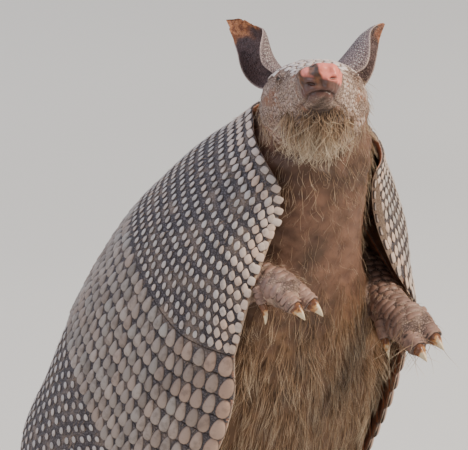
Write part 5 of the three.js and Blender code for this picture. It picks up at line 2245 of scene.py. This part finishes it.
# ---------------------------------------------------------------- the coat's patches
@dataclass
class HairDress:
    """All growths of hair: belly, chest, throat, cheeks, limbs, paws and armour."""

    coat: Coat
    armour: Armour
    seed: int = 61

    def down_trunk(self, points: Array) -> Array:
        """Towards the rump along the spine, spreading a little from the middle line."""
        trunk = self.coat.body.trunk
        s = np.clip((points[:, 2] - trunk.rump[2]) / 0.93, 0, 290)
        centre, left, _, ahead = trunk.spine(s)
        aside = np.sum((points - centre) * left, -1, keepdims=True) / 60
        return -ahead + 0.22 * left * aside + np.array([0.0, 0.0, -0.35])

    def down(self, points: Array) -> Array:
        """Straight down, as long throat hair hangs, and a little back to the chest."""
        return np.array([0.12, 0.25, -1.0]) + 0 * points

    def head_back(self, points: Array) -> Array:
        """Back along the head and down."""
        return -self.coat.body.head.ahead * 0.8 + np.array([0.0, 0.0, -0.6]) + 0 * points

    def along_limb(self, points: Array) -> Array:
        """Along the nearest limb towards its toes."""
        body, found = self.coat.body, np.zeros_like(points)
        best = np.full(len(points), np.inf)
        for limb in (*body.arms, *body.legs, *body.feet):
            centre, ahead, _, _, _ = limb.frame(np.linspace(0, 120, 60))
            i, near = nearest(points, centre)
            found = np.where((near < best)[:, None], ahead[i], found)
            best = np.minimum(near, best)
        return found + np.array([0.0, 0.0, -0.5])

    def fringe(self, count: int) -> Shape:
        """Fine short hairs between the scutes of the armour, lying back."""
        rng = np.random.default_rng(self.seed)
        trunk = self.armour.trunk
        s = rng.uniform(12, 280, count)
        a = rng.uniform(-2.2, 2.2, count)
        root = trunk.armour(s, a + np.pi, -0.3)
        normal = unit(trunk.armour(s, a + np.pi, 1.0) - trunk.armour(s, a + np.pi, 0.0))
        patch = HairPatch("fringe", count, (3.0, 6.5), 0.09, (12, 34), 0.3, 0.2, 4, 0.8)
        place = np.stack([0.01 + 0.97 * (a + 2.3) / 4.6, 0.01 + 0.97 * s / 290], -1)
        return strands(patch, root, normal, -trunk.spine(s)[3], place, self.seed)

    def build(self, bench: Bench, hair: Finish) -> None:
        """Makes every growth."""
        coat = self.coat
        p = coat.skin.points
        trunk, on_head = coat.on("trunk"), coat.on("head")
        q, left, up = coat.body.head.coords(p)
        bare = 1 - coat.skin.data["nose"]
        front = smooth(-coat.from_belly, -78, -40)
        belly = trunk * front * (1 - smooth(coat.along, 0.64, 0.8)) * smooth(ripple(p, 8, 92), -0.6, 0.3)
        chest = trunk * front * smooth(coat.along, 0.62, 0.8)
        throat = on_head * smooth(-up, 8, 15) * smooth(q, 18, 34) * (1 - smooth(q, 62, 82)) * bare
        throat = throat * smooth(ripple(p, 7, 91), -0.35, 0.25)
        lock = on_head * smooth(-up, 12, 16) * smooth(q, 40, 48) * (1 - smooth(q, 64, 74))
        lock = lock * (np.abs(left) < 9)
        nape = smooth(coat.along, 0.9, 1.0) * trunk + on_head * (1 - smooth(q, 26, 44))
        nape = nape * smooth(-up, -12, 4)
        cheek = on_head * smooth(q, 18, 26) * (1 - smooth(q, 78, 88)) * (np.abs(left) > 5) * bare * (up < 8)
        limbs = coat.on("arm0", "arm1") * smooth(coat.along, 0.3, 0.5)
        limbs = (limbs + 0.8 * coat.on("leg0", "leg1", "foot0", "foot1")) * (p[:, 2] > 4)
        low = p[:, 2] < np.interp(coat.along, [0, 1], [225, 214])
        palm = coat.on("arm1") * smooth(coat.along, 0.78, 0.86) * low
        bristle = coat.skin.data["hollow"] * (left > 0) * (1 - coat.skin.data["brink"]) * (up > 18)
        down, back = self.down_trunk, self.head_back
        growths = (
            ("belly", belly, down, ("belly", 6200, (15, 34), 0.17, (8, 26), 0.5, 0.18, 6, 0.55, 7)),
            ("chest", chest, down, ("chest", 520, (7, 16), 0.1, (12, 45), 0.4, 0.35, 7, 0.5)),
            ("chest", nape, self.down, ("nape", 700, (7, 15), 0.13, (10, 35), 0.35, 0.2, 6, 0.8, 3)),
            ("throat", throat, self.down, ("beard", 430, (10, 34), 0.23, (14, 46), 0.3, 0.26, 7, 1.0, 2)),
            ("throat", lock, self.down, ("lock", 190, (26, 44), 0.24, (10, 24), 0.3, 0.1, 7, 1.0, 7)),
            ("throat", cheek, back, ("cheek", 420, (3, 6), 0.1, (10, 32), 0.3, 0.2, 5, 0.7)),
            ("throat", bristle, back, ("ear", 240, (1.4, 3.0), 0.1, (45, 75), 0.2, 0.1, 4, 0.8)),
            ("limb", limbs, self.along_limb, ("limb", 1700, (5, 11), 0.12, (10, 28), 0.4, 0.2, 5, 0.6)),
            ("limb", palm, self.down, ("palm", 46, (17, 27), 0.17, (20, 40), 0.2, 0.1, 7, 0.95)),
        )
        grown: dict[str, list[Shape]] = {}
        for name, density, lie, patch in growths:
            grown.setdefault(f"{name}_hair", []).append(coat.grow(HairPatch(*patch), density, lie))
        grown["armour_hair"] = [self.fringe(3200)]
        for name, shapes in grown.items():
            bench.piece(name, Shape.join(shapes), hair, Slot.BODY)


# ---------------------------------------------------------------- studio
@dataclass
class Studio:
    """Floor, lights and camera."""

    azimuth: float = -45.0
    elevation: float = 18.0
    view_width: float = 243.4
    distance: float = 8000.0
    aim: tuple[float, float, float] = (-20.0, -4.1, 271.1)
    sensor: float = 36.0
    floor_side: float = 16.0  # metres
    sky_strength: float = 0.55

    def directions(self) -> tuple[Array, Array]:
        """Right and back directions of the camera."""
        az, el = np.radians(self.azimuth), np.radians(self.elevation)
        back = np.array([np.sin(az) * np.cos(el), -np.cos(az) * np.cos(el), np.sin(el)])
        return np.array([np.cos(az), np.sin(az), 0.0]), back

    def camera(self, bench: Bench) -> None:
        """Long lens from in front of the animal's right, slightly above."""
        back = self.directions()[1]
        data = bpy.data.cameras.new("camera")
        data.sensor_width = self.sensor
        data.lens = self.sensor * self.distance / self.view_width
        data.clip_start, data.clip_end = 0.05, 50.0
        camera = bpy.data.objects.new("camera", data)
        camera.location = (np.array(self.aim) + back * self.distance) * MM + bench.shift
        camera.rotation_mode = "QUATERNION"
        camera.rotation_quaternion = Vector(-back).to_track_quat("-Z", "Y")
        bpy.context.scene.collection.objects.link(camera)
        bpy.context.scene.camera = camera

    def lamp(
        self, name: str, aside: float, rise: float, near: float, size: float, watts: float, colour: str
    ) -> None:
        """Adds a soft square lamp, placed by its parts to the camera's right, up and towards it.

        Args:
            name: Name of the lamp.
            aside: Metres to the camera's right of the animal.
            rise: Metres above it, straight up.
            near: Metres towards the camera.
            size: Side of the square, metres.
            watts: Power of the lamp.
            colour: sRGB hex colour.
        """
        right, back = self.directions()
        data = bpy.data.lights.new(name, "AREA")
        data.size, data.energy, data.color = size, watts, tint(colour)[:3]
        lamp = bpy.data.objects.new(name, data)
        flat = np.array([back[0], back[1], 0.0])
        target = np.array([0.0, -0.1, 0.25])
        spot = target + right * aside + unit(flat) * near + np.array([0.0, 0.0, rise])
        lamp.location = spot
        lamp.rotation_mode = "QUATERNION"
        lamp.rotation_quaternion = Vector(target - spot).to_track_quat("-Z", "Y")
        bpy.context.scene.collection.objects.link(lamp)

    def build(self, bench: Bench) -> None:
        """Makes the floor, the lamps, the surroundings and the camera."""
        half = self.floor_side / 2
        corners = [(-half, -half, 0), (half, -half, 0), (half, half, 0), (-half, half, 0)]
        mesh = bpy.data.meshes.new("floor")
        mesh.from_pydata(corners, [], [(0, 1, 2, 3)])
        mesh.materials.append(PaleFloor().material())
        floor = bpy.data.objects.new("floor", mesh)
        bpy.context.scene.collection.objects.link(floor)
        self.lamp("key", 1.6, 1.2, 0.3, 0.6, 62.0, "#fff1dd")
        self.lamp("fill", -1.6, 1.2, 1.3, 1.6, 20.0, "#f3f5ff")
        self.lamp("sky", -0.9, 2.2, -0.5, 2.0, 36.0, "#dde7ff")
        world = bpy.data.worlds.new("studio")
        world.use_nodes = True
        sky = world.node_tree.nodes["Background"]
        sky.inputs["Color"].default_value = tint("#e9ebee")
        sky.inputs["Strength"].default_value = self.sky_strength
        bpy.context.scene.world = world
        self.camera(bench)


# ---------------------------------------------------------------- the whole animal
FORE_ROWS = [
    (11.5, -13, 1, 0.4, 0.6, 7, 3.6, 10, 0.7), (4.8, 0, 0, 0.06, 0.12, 13, 6, 9, 0.3),
    (-4.8, -2, 0, -0.04, 0.12, 13, 6, 9, 0.3), (-10.5, -10, 2.5, -0.1, 0.9, 7, 3.6, 10, 0.7),
]
HIND_ROWS = [
    (14, -5, 1, 0.4, 0.1, 10, 3.6, 9, 0.45), (7.5, -2, 0.6, 0.08, 0.1, 13, 4.6, 12, 0.45),
    (0, 0, 0.6, 0, 0.1, 14, 4.9, 13, 0.45), (-7.5, -3, 0.6, -0.08, 0.1, 13, 4.6, 12, 0.45),
    (-14, -8, 1, -0.45, 0.1, 10, 3.4, 8, 0.45),
]
LEG_ROWS = [
    (0, 42, 44, 97, 22, 24), (32, 58, 20, 86, 22, 27), (60, 67, -6, 72, 18, 20.5),
    (82, 65, 4, 50, 15, 16.5), (106, 60, 24, 31, 12, 13), (120, 58, 34, 20, 11.5, 12),
]
FOOT_ROWS = [
    (0, 57, 50, 7.5, 5, 5), (4, 57, 47, 8, 9.5, 9.5), (14, 58, 36, 9.4, 12, 12),
    (40, 61, 10, 7.9, 13, 10), (70, 65, -18, 6.2, 16, 8),
]
ARM_RIGHT = [
    (0, -38, 6, 276, 14, 15), (25, -52, 7, 256, 14, 15), (46, -59, 1, 238, 12.5, 13),
    (66, -52, -15, 238, 11.5, 12), (96, -36, -38, 252, 10.5, 10), (110, -34, -50, 251, 12, 10),
    (118, -33.5, -57, 249, 11.5, 9),
]
ARM_LEFT = [
    (0, 50, 6, 270, 14, 15), (25, 63, 7, 250, 14, 15), (46, 69, 0, 232, 12.5, 13),
    (66, 65, -18, 226, 12, 12), (96, 54, -48, 216, 11.5, 11), (110, 51, -61, 214, 12.5, 10.5),
    (118, 49.5, -68, 212, 12, 9.5),
]
TAIL_ROWS = [
    (0, 5, 78, 55, 24, 24), (20.5, 5, 87.4, 37, 23.5, 23.5), (41, 5, 103.5, 24.5, 22.5, 22.5),
    (61.5, 6, 123.4, 18.5, 21, 21), (110, 9, 171.7, 15.3, 17.4, 17.4), (170, 17, 231, 11.2, 12.8, 12.8),
    (230, 29, 290, 7.5, 8.6, 8.6), (290, 46, 347.5, 4.3, 4.9, 4.9), (322, 57, 377.5, 2.3, 2.6, 2.6),
]
FLESH_NODES = ("trunk", "neck", "head", "lower_jaw", "ear_right", "ear_left") + tuple(
    f"{part}_{side}"
    for part in ("upper_arm", "forearm", "forefoot", "thigh", "shank", "hindfoot")
    for side in ("right", "left")
)


@dataclass
class Armadillo:
    """The whole animal."""

    bench: Bench
    trunk: Trunk = field(default_factory=Trunk)
    head: Head = field(default_factory=Head)

    def __post_init__(self) -> None:
        """Sets out the limbs, toes, tail and ears from the body's lines."""
        middle = self.trunk.rump[0]

        def flip(rows: Rows, mirror: int) -> Rows:
            """Rows of a hind limb moved to its side of the body."""
            return [(r[0], middle + mirror * (r[1] - 2), *r[2:]) for r in rows]

        self.arms = [Limb(ARM_RIGHT), Limb(ARM_LEFT, (0.88, -0.2, 0.3))]
        self.legs = [Limb(flip(LEG_ROWS, m)) for m in (-1, 1)]
        self.feet = [Limb(flip(FOOT_ROWS, m)) for m in (-1, 1)]
        self.tail = Limb(TAIL_ROWS)
        self.fore = [digits(arm, 117.0, FORE_ROWS, m) for arm, m in zip(self.arms, (1, -1))]
        self.hind = [digits(foot, 69.0, HIND_ROWS, m) for foot, m in zip(self.feet, (1, -1))]
        toes = [d for feet in (self.fore, self.hind) for hand in feet for d in hand]
        self.body = Body(self.trunk, self.head, self.arms, self.legs, self.feet, self.tail, toes)
        inside, at = self.head.inside, self.head.at
        self.ears = [
            Ear(
                at(20, -13, 16.5), inside(-0.56, 0.76, -0.36), inside(-1, 0, 0.05), inside(-0.5, 0, 0.85),
                inside(1, 0, 1),
                [
                    (0, 14, 100), (0.18, 18.6, 98), (0.42, 18.4, 88), (0.68, 11.4, 68), (0.88, 6.8, 52),
                    (1, 4.6, 45),
                ],
                length=45.0, ragged=1.8, slope=-3.0,
            ),
            Ear(
                at(20, 9, 18), inside(0.643, 0.633, -0.43), inside(1, 0, -0.2), inside(1, 0, 0.2),
                inside(2, 0, 0),
                [
                    (0, 19.5, 108), (0.18, 23.5, 105), (0.42, 20.5, 88), (0.68, 13, 66), (0.88, 5.5, 45),
                    (1, 1.5, 25),
                ],
                length=46.0, ragged=0.5, worn=0.86,
            ),
        ]

    def build(self) -> None:
        """Makes every piece in order."""
        horn, ground = ScuteHorn(), ArmourGround()
        armour = Armour(self.trunk)
        armour.build(self.bench, horn, ground)
        TailArmour(self.tail).build(self.bench, horn, ground)
        skin = Skin(self.body, self.ears).make(self.bench)
        self.bench.piece("skin", skin, BareHide(), Slot.BODY, FLESH_NODES)
        HeadDress(self.head, self.ears).build(self.bench, horn, WetEye())
        LimbDress(self.body, self.fore, self.hind).build(self.bench, ClawHorn())
        HairDress(Coat(skin, self.body), armour).build(self.bench, BlondHair())
        LOG.info("whole model: %d triangles", self.bench.total)


def main() -> None:
    """Loads the frame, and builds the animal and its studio."""
    logging.basicConfig(level=logging.INFO, format="%(message)s")
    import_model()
    head = Head()
    bench = Bench(head.eye_centre(LEFT))
    Armadillo(bench, head=head).build()
    Studio().build(bench)


if __name__ == "__main__":
    main()
